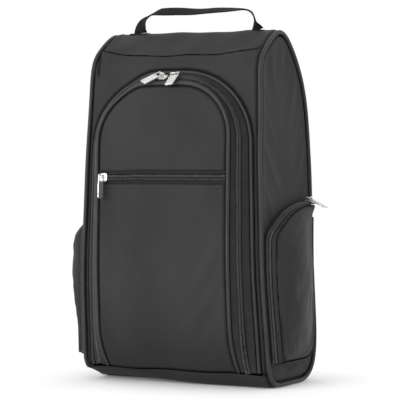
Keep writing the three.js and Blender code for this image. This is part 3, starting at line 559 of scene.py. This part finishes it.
def baked(obj):
    """Replaces the object's mesh by its evaluated one, modifiers applied."""
    graph = bpy.context.evaluated_depsgraph_get()
    graph.update()
    mesh = bpy.data.meshes.new_from_object(obj.evaluated_get(graph))
    obj.modifiers.clear()
    old = obj.data
    obj.data = mesh
    bpy.data.meshes.remove(old)
    return obj


def round_edges(obj, width):
    modifier = obj.modifiers.new("edges", "BEVEL")
    modifier.width = width
    modifier.segments = 3
    modifier.limit_method = "ANGLE"
    return baked(obj)


def smooth_shaded(obj):
    obj.data.polygons.foreach_set("use_smooth", [True] * len(obj.data.polygons))
    return obj


def write_seam_shade(mesh, values):
    """Stores how deep in a seam each vertex is, from 0 to 1, for the materials to paint as shade."""
    attribute = mesh.attributes.new("seam", "FLOAT", "POINT")
    attribute.data.foreach_set("value", values.astype(np.float32))


def boxes_meet(node, other, gap=0.003):
    (low, high), (other_low, other_high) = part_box(node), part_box(other)
    return all(other_low[i] < high[i] + gap and other_high[i] > low[i] - gap for i in range(3))


def paint_crevice_shade(obj, node, reach=4 * MM):
    """Marks a trim piece for painted shade where it is close to the other sewn parts, as in a seam."""
    tree = tree_of(*(other for other in SEWN if other != node and boxes_meet(node, other)))
    found = [tree.find_nearest(Vector(p), reach)[3] for p in coordinates(obj.data)]
    distance = np.array([reach if d is None else d for d in found]) / MM
    write_seam_shade(obj.data, 0.92 * near(distance, 0, 0.75))


def refined(node, name, levels=2, crease_over=50, cut_every=None, widen=0.0, move=(0, 0, 0), material=None):
    """A CAD lofted piece with round stretches made smooth and sharp edges kept.

    cut_every divides a piece that runs straight along X, so that it can waver. widen carries the upper or
    lower edge of a tape on under the cloth that it is sewn to, and move puts it in behind that cloth.
    """
    low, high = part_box(node)
    bm = cad_mesh(node)
    for vertex in bm.verts:
        vertex.co += Vector(move)
    if widen:
        edge = high.z if widen > 0 else low.z
        for vertex in bm.verts:
            if abs(vertex.co.z - edge) < 0.0008:
                vertex.co.z += widen
    if cut_every:
        for k in range(1, int((high.x - low.x) / cut_every)):
            geometry = list(bm.verts) + list(bm.edges) + list(bm.faces)
            place = (low.x + k * cut_every, 0, 0)
            bmesh.ops.bisect_plane(bm, geom=geometry, plane_co=place, plane_no=(1, 0, 0))
    bmesh.ops.join_triangles(
        bm,
        faces=bm.faces,
        angle_face_threshold=math.radians(25),
        angle_shape_threshold=math.radians(60),
    )
    crease = bm.edges.layers.float.new("crease_edge")
    for edge in bm.edges:
        if len(edge.link_faces) == 2 and edge.calc_face_angle(0) > math.radians(crease_over):
            edge[crease] = 0.8
    obj = object_from(bm)
    modifier = obj.modifiers.new("surface", "SUBSURF")
    modifier.levels = modifier.render_levels = levels
    smooth_shaded(baked(obj))
    # Sewn trim gets painted shade where it lies against the cloth.
    if node in SEWN:
        paint_crevice_shade(obj, node)
    finish_piece(obj, name, [node], material=material)


def bevelled(node, name, width=0.00028):
    """A CAD metal piece with its edges rounded over."""
    bm = cad_mesh(node)
    bmesh.ops.dissolve_limit(bm, angle_limit=math.radians(1), verts=bm.verts, edges=bm.edges)
    obj = round_edges(object_from(bm), width)
    finish_piece(smooth_shaded(obj), name, [node], rigid=True)


# ---------- Cloth relief ----------

class Relief:
    """Height field over a panel, from a short cloth simulation of its outer sheet.

    The sheet hangs from its seams with a little more cloth than it needs, so it sags and buckles.
    u and v are the numbers of the axes in the panel, and out is that of the axis across it, with the sign
    that points away from the bag. cap is the most, in metres, that the relief rises or sinks.
    """

    FRAMES = 24

    def __init__(self, name, nodes, u, v, out, slack, push, cap, spacing=0.0045):
        self.u, self.v, (self.axis, self.sign) = u, v, out
        self.spacing = spacing
        boxes = [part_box(node) for node in nodes]
        low = np.min([np.array(b[0]) for b in boxes], 0)
        high = np.max([np.array(b[1]) for b in boxes], 0)
        self.low = low
        self.size = (
            int((high[u] - low[u]) / spacing) + 2,
            int((high[v] - low[v]) / spacing) + 2,
        )
        self.height = np.zeros(self.size)
        self.simulate(name, tree_of(*nodes), low, high, slack, push, cap)

    def simulate(self, name, tree, low, high, slack, push, cap):
        direction = Vector((0, 0, 0))
        direction[self.axis] = -self.sign
        beyond = (high if self.sign > 0 else low)[self.axis] + self.sign * 0.05
        index, points = {}, []
        for i in range(self.size[0]):
            for j in range(self.size[1]):
                origin = Vector((0, 0, 0))
                origin[self.axis] = beyond
                origin[self.u] = low[self.u] + i * self.spacing
                origin[self.v] = low[self.v] + j * self.spacing
                hit = tree.ray_cast(origin, direction)[0]
                if hit is not None:
                    index[i, j] = len(points)
                    points.append(hit)
        faces = [
            [index[i, j], index[i + 1, j], index[i + 1, j + 1], index[i, j + 1]]
            for i, j in index
            if (i + 1, j) in index and (i + 1, j + 1) in index and (i, j + 1) in index
        ]
        mesh = bpy.data.meshes.new(name)
        mesh.from_pydata([p[:] for p in points], [], faces)
        bm = bmesh.new()
        bm.from_mesh(mesh)
        bmesh.ops.recalc_face_normals(bm, faces=bm.faces)
        facing = sum(f.normal[self.axis] * self.sign for f in bm.faces)
        if facing < 0:
            bmesh.ops.reverse_faces(bm, faces=bm.faces)
        held = [v.index for v in bm.verts if v.is_boundary or not v.link_faces]
        bm.to_mesh(mesh)
        bm.free()
        obj = new_object(mesh, name)
        obj.vertex_groups.new(name="held").add(held, 1, "REPLACE")
        cloth = obj.modifiers.new("cloth", "CLOTH")
        settings = cloth.settings
        settings.quality = 6
        settings.mass = 0.25
        settings.tension_stiffness = settings.compression_stiffness = 18
        settings.shear_stiffness = 8
        settings.bending_stiffness = 1.6
        settings.vertex_group_mass = "held"
        settings.shrink_min = -slack
        settings.use_pressure = push != 0
        settings.uniform_pressure_force = push
        cloth.collision_settings.use_self_collision = False
        cloth.point_cache.frame_start = 1
        cloth.point_cache.frame_end = self.FRAMES
        before = coordinates(mesh)
        for step in range(1, self.FRAMES + 1):
            bpy.context.scene.frame_set(step)
        graph = bpy.context.evaluated_depsgraph_get()
        after = coordinates(obj.evaluated_get(graph).data)
        rise = (after - before)[:, self.axis] * self.sign
        for (i, j), k in index.items():
            self.height[i, j] = cap * math.tanh(rise[k] / cap)
        bpy.data.objects.remove(obj)
        bpy.context.scene.frame_set(1)
        blurred = np.pad(self.height, 1, "edge")
        self.height = (
            4 * blurred[1:-1, 1:-1]
            + blurred[:-2, 1:-1] + blurred[2:, 1:-1] + blurred[1:-1, :-2] + blurred[1:-1, 2:]
        ) / 8

    def at(self, co):
        a = np.clip((co[:, self.u] - self.low[self.u]) / self.spacing, 0, self.size[0] - 1.001)
        b = np.clip((co[:, self.v] - self.low[self.v]) / self.spacing, 0, self.size[1] - 1.001)
        i, j = a.astype(int), b.astype(int)
        s, t = a - i, b - j
        h = self.height
        return (
            h[i, j] * (1 - s) * (1 - t) + h[i + 1, j] * s * (1 - t)
            + h[i, j + 1] * (1 - s) * t + h[i + 1, j + 1] * s * t
        )


def add_allowance(bm, out, reach, front_edge, overlap=0.5 * MM):
    """Carries the rim of a panel on into the piping or seam that it is sewn to.

    front_edge(normal, centre) picks further faces, those of an edge that lies over its neighbour, and
    overlap is how far those go.
    """
    shift = {}
    lying_over = set()
    for face in bm.faces:
        if out is None:
            is_rim = abs(face.normal.x) > 0.7
        else:
            is_rim = abs(face.normal.dot(Vector(out))) < 0.4
        is_front = front_edge is not None and front_edge(face.normal, face.calc_center_median())
        if is_rim or is_front:
            for vertex in face.verts:
                shift[vertex] = shift.get(vertex, Vector()) + face.normal * face.calc_area()
                if is_front:
                    lying_over.add(vertex)
    for vertex, direction in shift.items():
        if direction.length > 0:
            vertex.co += direction.normalized() * (overlap if vertex in lying_over else reach)


def fabric(nodes, name, relief=None, voxel=0.0013, out=None, extra=None,
           source=None, body=None, pinch=1.5, roll=0.3, allowance=0.0014, leave_out=None, rolled=None,
           front_edge=None):
    """A fabric panel: a fine closed mesh of the CAD solid, with its cloth relief and its seams pulled in.

    out is the panel's outward direction; without it the panel wraps the bag and its own normals are used.
    relief is a height field and extra(co) adds to it, in mm; both fade out towards the seams.
    pinch and roll, in mm, are the depth of the seam at the edge and the height of the roll beside it.
    Where rolled(co) is 1 the edge is turned over and lies on its neighbour, so it stands up instead.
    """
    bm = source or cad_mesh(*nodes)
    if allowance:
        add_allowance(bm, out, allowance, front_edge)
    obj = object_from(bm)
    remesh = obj.modifiers.new("fine", "REMESH")
    remesh.mode = "VOXEL"
    remesh.voxel_size = voxel
    soft = obj.modifiers.new("soft", "SMOOTH")
    soft.factor = 0.5
    soft.iterations = 6
    baked(obj)
    mesh = obj.data
    co = coordinates(mesh)
    if out is None:
        direction = coordinates(mesh, "normal")
        toward = co - np.array([0, (CAD_LOW.y + CAD_HIGH.y) / 2, 0.19])
        toward[:, 0] = 0
        direction[:, 0] = 0
        facing = np.sign(np.einsum("ij,ij->i", direction, toward))
        length = np.maximum(np.linalg.norm(direction, axis=1), 0.25)
        direction = direction * (facing / length)[:, None]
    else:
        direction = np.tile(np.array(out, float), (len(co), 1))
    edges = edge_tree(nodes, leave_out)
    distance = np.array([edges.find(Vector(p))[2] for p in co]) / MM
    turned = rolled(co) if rolled else np.zeros(len(co))
    sunk = roll * near(distance, 4.6, 1.9) - pinch * falls(distance, 0, 2.8)
    raised = 0.75 * near(distance, 0, 1.9)
    amount = sunk * (1 - turned) + raised * turned
    # How much painted shade darkens the cloth near its edges, in the seams.
    seam = 0.94 * near(distance, 0, 1.7) * (1 - turned)
    if relief is not None:
        amount = amount + relief.at(co) / MM * smoothstep(distance / 14)
    if extra is not None:
        amount = amount + extra(co) * smoothstep(distance / 10)
    set_coordinates(mesh, co + direction * (amount * MM)[:, None])
    write_seam_shade(mesh, seam)
    smooth_shaded(obj)
    finish_piece(obj, name, nodes, body=body)


make_camera()
make_studio()


# ---------- Cloth simulations ----------

SIDE_RELIEF = {
    hand: Relief(
        f"side_{hand}",
        [f"side_panel_{hand}"],
        1, 2, (0, side), slack=0.009, push=0.10, cap=0.0012,
    )
    for hand, side in SIDES
}
POCKET_RELIEF = {
    hand: Relief(
        f"pocket_{hand}",
        [f"side_pocket_face_{hand}", f"side_flap_{hand}"],
        1, 2, (0, side), slack=0.014, push=0.25, cap=0.0014,
    )
    for hand, side in SIDES
}
DOOR_RELIEF = Relief("door", ["door_face_lower"], 0, 2, (1, -1), slack=0.008, push=0.05, cap=0.0014)
UPPER_RELIEF = Relief("door_top", ["door_face_upper"], 0, 2, (1, -1), slack=0.010, push=0.05, cap=0.0012)
BACK_RELIEF = Relief("back", ["back_panel"], 0, 2, (1, 1), slack=0.012, push=-0.06, cap=0.0022)


# ---------- Fabric panels ----------

def side_folds(co):
    """Upright folds where the side meets the back, and shallow draws under the ridge, in mm."""
    y, z = co[:, 1] / MM, co[:, 2] / MM
    lean = y - 0.05 * (z - 180)
    rear = near(lean, 56, 17) * rises(z, 40, 80) * rises(-z, -350, 90)
    draws = np.sin(lean / 3.6 + 0.5 * np.sin(z / 37)) + 0.5 * np.sin(lean / 6.1 + z / 90)
    top = rises(z, 290, 60) * 0.14 * np.sin(y / 9 + z / 24)
    return 0.13 * rear * draws + top


def door_dents(co):
    """Broad hollows of a padded door, in mm."""
    x, z = co[:, 0] / MM, co[:, 2] / MM
    broad = 0.35 * np.sin(x / 23 + 0.4) * np.sin(z / 31 + 1.0) + 0.15 * np.sin(x / 9 + z / 15)
    slack = 0.22 * np.sin((x + 0.6 * z) / 8.5 + np.sin(z / 22)) * np.sin(x / 31 + z / 44)
    return broad + slack


def frame_dents(co):
    """Ripples of the strip round the door opening, and one crease at its left shoulder, in mm."""
    x, z = co[:, 0] / MM, co[:, 2] / MM
    to_line = (x + 59) * 0.8 - (z - 345) * 0.6
    crease = 0.8 * near(to_line, 0, 2.2) * near(z, 345, 9)
    return 0.30 * np.sin(z / 17 + x / 30) + 0.18 * np.sin(z / 8.5 + 1.3) + crease


def yoke_folds(co):
    """Slack of the yoke between the front seam and the ridge, in mm, and its slanting creases."""
    x, z = co[:, 0] / MM, co[:, 2] / MM
    slant = x - 0.55 * (z - 360)
    return 0.45 * np.sin(slant / 15 + 0.7) * np.sin(z / 9) + 0.22 * np.sin(slant / 6.5)


def top_front_rim(normal, centre):
    """The lower front edge of the top panel."""
    return centre.y < -0.02 and centre.z < 0.368 and normal.y < -0.2 and normal.z < -0.4


def base_front_rim(normal, centre):
    """The upper front edge of the base panel."""
    return centre.y < -0.03 and centre.z > 0.008 and normal.z > 0.7


def front_top_edge(co):
    """1 along the front edge of the top panel, which lies over the front."""
    return (co[:, 1] < -0.026).astype(float) * (co[:, 2] < 0.366) * (np.abs(co[:, 0]) < 0.094)


def front_base_edge(co):
    """1 along the front edge of the base panel."""
    return (co[:, 1] < -0.03).astype(float) * (co[:, 2] > 0.006) * (np.abs(co[:, 0]) < 0.104)


for hand, side in SIDES:
    fabric(
        [f"side_panel_{hand}"],
        f"side_{hand}_cloth",
        SIDE_RELIEF[hand],
        out=(side, 0, 0),
        extra=side_folds,
    )
fabric(["front_frame"], "front_frame_cloth", out=(0, -1, 0), extra=frame_dents, voxel=0.0012)
fabric(["top_panel"], "top_cloth", extra=yoke_folds, rolled=front_top_edge, front_edge=top_front_rim)
fabric(["back_panel"], "back_cloth", BACK_RELIEF, out=(0, 1, 0), extra=door_dents, voxel=0.0014)
fabric(
    ["base_panel"],
    "base_cloth",
    voxel=0.0014,
    roll=0,
    rolled=front_base_edge,
    front_edge=base_front_rim,
    allowance=0.0018,
)
for level, relief in (("lower", DOOR_RELIEF), ("upper", UPPER_RELIEF)):
    fabric(
        [f"door_face_{level}"],
        f"door_{level}_cloth",
        relief,
        out=(0, -1, 0),
        extra=door_dents,
        voxel=0.0012,
    )
refined("door_backing", "door_backing_cloth")

# The line that a side pocket's flap folds about, seen from the side, and the direction across it.
FOLD_START = Vector((0, -0.0315, 0.0285))
FOLD_END = Vector((0, 0.0675, 0.182))
FOLD = FOLD_END - FOLD_START
ALONG_FOLD = FOLD.normalized()
ACROSS_FOLD = Vector((0, -ALONG_FOLD.z, ALONG_FOLD.y))
HALF_BEND = 0.012


def near_fold(point):
    """Whether a point is on the fold of a side pocket, away from its ends."""
    from_start = Vector((0, point.y, point.z)) - FOLD_START
    t = from_start.dot(FOLD) / FOLD.length_squared
    return (from_start - FOLD * t).length < 0.0011 and 0.03 < t < 0.97


def pocket_mesh(hand, half_gap=0.0005, push=0.0008):
    """Face and flap of a side pocket as one cloth: each is pushed a little across the gap at the fold."""
    bm = cad_mesh(f"side_pocket_face_{hand}", f"side_flap_{hand}")
    for vertex in bm.verts:
        offset = (vertex.co - FOLD_START).dot(ACROSS_FOLD)
        if abs(offset) < half_gap:
            vertex.co -= ACROSS_FOLD * math.copysign(push, offset)
    return bm


def full_pocket(co):
    """The left pocket stands a little fuller than the right one, in mm."""
    y, z = co[:, 1] / MM, co[:, 2] / MM
    return 4.0 * rises(z, 35, 50) * rises(-z, -192, 26) * rises(-y, -45, 40)


for hand, side in SIDES:
    middle = (FOLD_START + FOLD_END) / 2
    bend = ACROSS_FOLD * HALF_BEND
    fabric(
        [f"side_pocket_face_{hand}", f"side_flap_{hand}"],
        f"side_pocket_{hand}_cloth",
        POCKET_RELIEF[hand],
        out=(side, 0, 0),
        extra=full_pocket if hand == "left" else None,
        source=pocket_mesh(hand),
        voxel=0.0012,
        allowance=0,
        leave_out=near_fold,
        body=("shell", f"side_flap_{hand}", middle - bend, middle + bend),
    )
    refined(f"side_pocket_gusset_{hand}", f"side_pocket_{hand}_gusset")


# ---------- Piping, tapes, webbing and board ----------

for hand, side in SIDES:
    refined(f"corner_piping_{hand}", f"corner_piping_{hand}_cloth")
    refined(f"side_zip_tape_panel_{hand}", f"side_zip_{hand}_panel_tape")
    refined(f"side_zip_tape_flap_{hand}", f"side_zip_{hand}_flap_tape")
    refined(f"handle_anchor_{hand}", f"handle_{hand}_anchor", move=(0, 0, -0.0007))
for piping in ("opening_piping", "door_piping"):
    refined(piping, f"{piping}_cloth")
for edge in ("shell", "door"):
    refined(f"main_zip_tape_{edge}", f"main_zip_{edge}_tape")
for half, widen in (("upper", 0.0025), ("lower", -0.0020)):
    # Their darker tape material is painted shade.
    refined(f"pocket_zip_tape_{half}", f"pocket_zip_{half}_tape", cut_every=0.008, widen=widen,
            move=(0, 0.0006, 0), material="shaded_pocket_tape")
refined("base_board", "base_board_panel", levels=1)


# ---------- Lines and bars ----------

def through(points, spacing):
    """A smooth row of points through the given ones, evenly spaced, and where each lies among them."""
    points = np.asarray(points)
    dense = []
    last = len(points) - 1
    for k in range(last):
        p0, p1 = points[max(k - 1, 0)], points[k]
        p2, p3 = points[k + 1], points[min(k + 2, last)]
        for t in np.linspace(0, 1, 24, endpoint=False):
            dense.append(
                0.5 * (2 * p1 + (p2 - p0) * t + (2 * p0 - 5 * p1 + 4 * p2 - p3) * t * t
                       + (3 * p1 - p0 - 3 * p2 + p3) * t ** 3)
            )
    dense.append(points[last])
    dense = np.array(dense)
    length = np.concatenate([[0], np.cumsum(np.linalg.norm(np.diff(dense, axis=0), axis=1))])
    wanted = np.arange(0, length[-1], spacing)
    place = np.interp(wanted, length, np.arange(len(dense)) / 24)
    return np.stack([np.interp(wanted, length, dense[:, i]) for i in range(3)], 1), place


def unit(rows):
    return rows / np.linalg.norm(rows, axis=-1, keepdims=True)


def swept(name, centres, a, b, across, out):
    """A closed bar along its centres, whose section has points across * a + out * b."""
    sides = len(across)
    ring = across[None, :, None] * a[:, None, :] + out[None, :, None] * b[:, None, :]
    co = (centres[:, None, :] + ring).reshape(-1, 3)
    faces = []
    for k in range(len(centres) - 1):
        here, following = k * sides, (k + 1) * sides
        for i in range(sides):
            j = (i + 1) % sides
            faces.append((here + i, here + j, following + j, following + i))
    faces.append(tuple(range(sides))[::-1])
    faces.append(tuple((len(centres) - 1) * sides + i for i in range(sides)))
    mesh = bpy.data.meshes.new(name)
    mesh.from_pydata(co.tolist(), [], faces)
    mesh.update()
    return mesh


def tube_mesh(name, line, radius, sides):
    """A closed round tube along a line."""
    line = np.asarray(line)
    tangent = unit(np.gradient(line, axis=0))
    a = unit(np.cross(tangent, np.array([0.31, 0.52, 0.79])))
    b = np.cross(tangent, a)
    angle = 2 * np.pi * np.arange(sides) / sides
    return swept(name, line, a, b, radius * np.cos(angle), radius * np.sin(angle))


# ---------- Handle ----------

# The strap's middle line lies in one plane: the left foot, a left shoulder, a top that sags a little, a
# right shoulder that leans outward, and the right foot, in mm. A shoulder is a quarter of a squared oval,
# given by the x of its inner end, the z of its outer end, its width, its height and how square it is.
HANDLE_Y = 0.0105
LEFT_FOOT = (-69.8, 380.6)
LEFT_SHOULDER = (-45.0, 383.0, 24.8, 20.4, 1.75)
RIGHT_SHOULDER = (53.0, 386.0, 16.2, 16.7, 3.0)
RIGHT_LEAN = 0.1
RIGHT_FOOT = (73.0, 379.2)
SAG_DEPTH, SAG_MIDDLE, SAG_REACH = 1.1, -2.0, 16.0
# Turn of the strap's width out of that plane: (mm along the line, degrees).
HANDLE_TURN = [
    (0, -8), (11, -34), (18, -61), (22, -72), (26, -75), (36, -62), (46, -59), (55, -59), (88, -67),
    (104, -68), (122, -73), (134, -80), (146, -97), (151, -108), (160, -120), (163, -129), (170.6, -169),
]
STRAP_HALF_WIDTH = 9.0
STRAP_HALF_THICKNESS = 0.85


def shoulder(wide, high, square, steps=10):
    """Distances out and up along a quarter of a squared oval, from its top to its foot."""
    angle = np.radians(np.linspace(0, 90, steps))
    return wide * np.sin(angle) ** (2 / square), high * np.cos(angle) ** (2 / square)


def handle_line():
    """The strap's middle line as rows of (x, z) in mm, from the left foot to the right one."""
    left_x, left_z, wide, high, square = LEFT_SHOULDER
    out, up = shoulder(wide, high, square)
    left = np.stack([left_x - out, left_z + up], 1)[::-1]
    right_x, right_z, wide, high, square = RIGHT_SHOULDER
    out, up = shoulder(wide, high, square)
    right = np.stack([right_x + out + RIGHT_LEAN * (high - up), right_z + up], 1)
    x = np.linspace(left_x, right_x, 12)[1:-1]
    level = np.interp(x, (left_x, right_x), (left[-1, 1], right[0, 1]))
    top = np.stack([x, level - SAG_DEPTH * near(x, SAG_MIDDLE, SAG_REACH)], 1)
    return np.concatenate([[LEFT_FOOT], left, top, right, [RIGHT_FOOT]])


def handle_webbing(step=1.2):
    """Flat webbing with rounded selvedges that twists between its two feet, in steps of a few mm."""
    line = np.insert(handle_line() * MM, 1, HANDLE_Y, axis=1)
    points, _ = through(line, step * MM)
    places, turns = np.array(HANDLE_TURN, float).T
    turn = np.radians(np.interp(step * np.arange(len(points)), places, turns))
    tangent = unit(np.gradient(points, axis=0))
    level = np.array([0.0, 1.0, 0.0])
    in_plane = unit(np.cross(level, tangent))
    wide = in_plane * np.cos(turn)[:, None] + level * np.sin(turn)[:, None]
    thick = np.cross(tangent, wide)
    sides = 20
    angle = 2 * np.pi * (np.arange(sides) + 0.5) / sides
    across = np.sign(np.cos(angle)) * np.abs(np.cos(angle)) ** 0.45 * STRAP_HALF_WIDTH * MM
    out = np.sign(np.sin(angle)) * np.abs(np.sin(angle)) ** 0.7 * STRAP_HALF_THICKNESS * MM
    mesh = swept("handle_webbing", points, wide, thick, across, out)
    finish_piece(smooth_shaded(new_object(mesh)), "handle_webbing", ["handle_strap"])


handle_webbing()


# ---------- Zip chains ----------

class Chain:
    """The middle line of a zip, with the directions across it to the moving edge and out of it.

    start is a place near the line's first end, and grow is how far the line goes on past its two ends.
    """

    def __init__(self, still, moving, start, out, grow=None, pitch=0.0016, per_turn=8):
        a, b = rings(still, start), rings(moving, start)
        centres = [(p.mean(0) + q.mean(0)) / 2 for p, q in zip(a, b)]
        across = unit(np.array([q.mean(0) - p.mean(0) for p, q in zip(a, b)]))
        if grow:
            centres.insert(0, centres[0] + unit(centres[0] - centres[1]) * grow[0])
            centres.append(centres[-1] + unit(centres[-1] - centres[-2]) * grow[1])
            across = np.concatenate([across[:1], across, across[-1:]])
        self.points, place = through(centres, pitch / per_turn)
        whole = np.arange(len(across))
        tangent = unit(np.gradient(self.points, axis=0))
        w = np.stack([np.interp(place, whole, across[:, i]) for i in range(3)], 1)
        w = unit(w - tangent * np.einsum("ij,ij->i", w, tangent)[:, None])
        m = np.cross(tangent, w)
        if np.einsum("ij,j->i", m, np.array(out, float)).mean() < 0:
            m = -m
        self.tangent, self.w, self.m = tangent, w, m
        self.per_turn = per_turn
        self.nodes = {-1: still, 1: moving}

    def coil(self, direction, name):
        """Half of the zip: a monofilament wound along it, its turns between those of the other half."""
        count = len(self.points)
        phase = 2 * math.pi * np.arange(count) / self.per_turn + (math.pi if direction > 0 else 0)
        reach = direction * (1.55 + 1.25 * np.cos(phase))
        rise = 0.95 * np.sin(phase)
        line = self.points + (self.w * reach[:, None] + self.m * rise[:, None]) * MM
        mesh = tube_mesh(name, line, 0.00040, 5)
        finish_piece(smooth_shaded(new_object(mesh)), name, [self.nodes[direction]])

    def at(self, place):
        """(point, along, across, out) of the chain nearest to a place."""
        k = int(np.argmin(np.linalg.norm(self.points - np.array(place), axis=1)))
        across, out = Vector(self.w[k]), Vector(self.m[k])
        return Vector(self.points[k]), across.cross(out), across, out


MAIN = Chain(
    "main_zip_coil_shell",
    "main_zip_coil_door",
    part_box("main_zip_coil_shell")[0],
    (0, -1, 0),
    grow=(0.0045, 0.0012),
)
POCKET = Chain(
    "pocket_zip_coil_lower",
    "pocket_zip_coil_upper",
    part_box("pocket_zip_coil_lower")[0],
    (0, -1, 0),
)
SIDE = {
    hand: Chain(
        f"side_zip_coil_panel_{hand}",
        f"side_zip_coil_flap_{hand}",
        (side * 0.112, -0.045, 0.028),
        (0, -0.7, 0.7),
    )
    for hand, side in SIDES
}
MAIN.coil(-1, "main_zip_shell_coil")
MAIN.coil(1, "main_zip_door_coil")
POCKET.coil(-1, "pocket_zip_lower_coil")
POCKET.coil(1, "pocket_zip_upper_coil")
for hand, side in SIDES:
    SIDE[hand].coil(-1, f"side_zip_{hand}_panel_coil")
    SIDE[hand].coil(1, f"side_zip_{hand}_flap_coil")


# ---------- Sliders and pulls ----------

def prism(bm, outline, low, high):
    """Adds a plate with an outline of (x, y) between two heights, in mm."""
    bottom = [bm.verts.new((x * MM, y * MM, low * MM)) for x, y in outline]
    top = [bm.verts.new((x * MM, y * MM, high * MM)) for x, y in outline]
    bm.faces.new(bottom[::-1])
    bm.faces.new(top)
    for k in range(len(outline)):
        j = (k + 1) % len(outline)
        bm.faces.new((bottom[k], bottom[j], top[j], top[k]))


def slider(name, node, chain, bail_y):
    """A zip slider: two shield-shaped plates, the side walls between them, and a wire bail.

    bail_y, in mm, is how far across the chain the bail stands from its middle.
    """
    low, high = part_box(node)
    place, along, across, out = chain.at((low + high) / 2)
    shield = [(-5.4, -2.9), (-4.6, -3.6), (1.5, -4.4), (4.4, -4.2), (5.4, -2.6),
              (5.4, 2.6), (4.4, 4.2), (1.5, 4.4), (-4.6, 3.6), (-5.4, 2.9)]
    wall = [(-4.4, 3.3), (1.5, 4.3), (4.0, 4.1), (4.0, 3.5), (1.5, 3.6), (-4.4, 2.7)]
    bm = bmesh.new()
    prism(bm, shield, 1.75, 2.75)
    prism(bm, shield, -2.75, -1.75)
    for turn in (1, -1):
        flipped = [(x, y * turn) for x, y in wall][::turn]
        prism(bm, flipped, 0.65, 1.80)
        prism(bm, flipped, -1.80, -0.65)
    prism(bm, [(-1.8, -0.45), (1.8, -0.45), (1.8, 0.45), (-1.8, 0.45)], -1.8, 1.8)
    obj = round_edges(object_from(bm), 0.00032)
    arch = []
    for k in range(9):
        angle = math.pi * k / 8
        arch.append((-2.7 * math.cos(angle), bail_y, 5.0 + 1.5 * math.sin(angle) ** 0.7))
    line = np.array([(-2.7, bail_y, 2.5)] + arch + [(2.7, bail_y, 2.5)]) * MM
    wire, _ = through(line, 0.0003)
    bail = tube_mesh(name, wire, 0.0006, 10)
    bm = bmesh.new()
    bm.from_mesh(obj.data)
    bm.from_mesh(bail)
    bmesh.ops.recalc_face_normals(bm, faces=bm.faces)
    turn = np.array([along, across, out]).T
    for vertex in bm.verts:
        vertex.co = place + Vector(turn @ np.array(vertex.co))
    bm.to_mesh(obj.data)
    bm.free()
    finish_piece(smooth_shaded(obj), name, [node], rigid=True)


slider("main_left_slider_body", "main_left_slider", MAIN, -0.7)
slider("main_right_slider_body", "main_right_slider", MAIN, -0.7)
slider("pocket_slider_body", "pocket_slider", POCKET, 0)
for hand, side in SIDES:
    slider(f"side_{hand}_slider_body", f"side_{hand}_slider", SIDE[hand], 0.7)
for which in ("main_left", "main_right", "pocket", "side_left", "side_right"):
    bevelled(f"{which}_puller", f"{which}_pull")


# ---------- Thread ----------

def surface(obj_name):
    graph = bpy.context.evaluated_depsgraph_get()
    graph.update()
    return BVHTree.FromObject(bpy.data.objects[obj_name], graph)


# One stitch along its length, as (place from its middle, width), both as parts of the whole.
STITCH = ((-0.5, 0.25), (-0.36, 0.75), (-0.12, 1.0), (0.12, 1.0), (0.36, 0.75), (0.5, 0.25))


def stitches(name, cloth, body, line, out, pitch=3.3, length=2.4, radius=0.26):
    """A row of separate stitches, half sunk in a cloth piece, along a line seen against out."""
    tree = surface(cloth)
    out = Vector(out)
    row, _ = through([tuple(p) for p in line], pitch * MM)
    ground = []
    for p in row:
        hit = tree.ray_cast(Vector(p) + out * 0.05, -out, 0.09)
        ground.append(hit[:2] if hit[0] is not None else None)
    bm = bmesh.new()
    for k in range(len(ground) - 1):
        if ground[k] is None or ground[k + 1] is None:
            continue
        place, normal = ground[k]
        if (ground[k + 1][0] - place).length > 2 * pitch * MM:
            continue
        along = (ground[k + 1][0] - place).normalized()
        side_way = along.cross(normal).normalized()
        rings_of = []
        for t, width in STITCH:
            centre = place + along * (t * length * MM) + normal * ((0.10 - 0.9 * t * t) * MM)
            rings_of.append([
                bm.verts.new(
                    centre
                    + side_way * (math.cos(a) * radius * width * MM)
                    + normal * (math.sin(a) * radius * width * MM)
                )
                for a in (math.pi * i / 3 for i in range(6))
            ])
        for a, b in zip(rings_of, rings_of[1:]):
            for i in range(6):
                j = (i + 1) % 6
                bm.faces.new((a[i], a[j], b[j], b[i]))
        bm.faces.new(rings_of[0][::-1])
        bm.faces.new(rings_of[-1])
    bmesh.ops.recalc_face_normals(bm, faces=bm.faces)
    obj = smooth_shaded(object_from(bm, name))
    obj.data.materials.append(MATERIALS["thread"])
    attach(obj, body)


def level_line(half, z, y=-0.07, count=24):
    return [(-half + 2 * half * k / count, y, z) for k in range(count + 1)]


for name, cloth, z in (
    ("pocket_seam_upper", "door_upper_cloth", 0.2322),
    ("pocket_seam_lower", "door_lower_cloth", 0.2138),
    ("pocket_seam_second", "door_lower_cloth", 0.2086),
):
    stitches(name, cloth, "door", level_line(0.0735, z), (0, -1, 0))
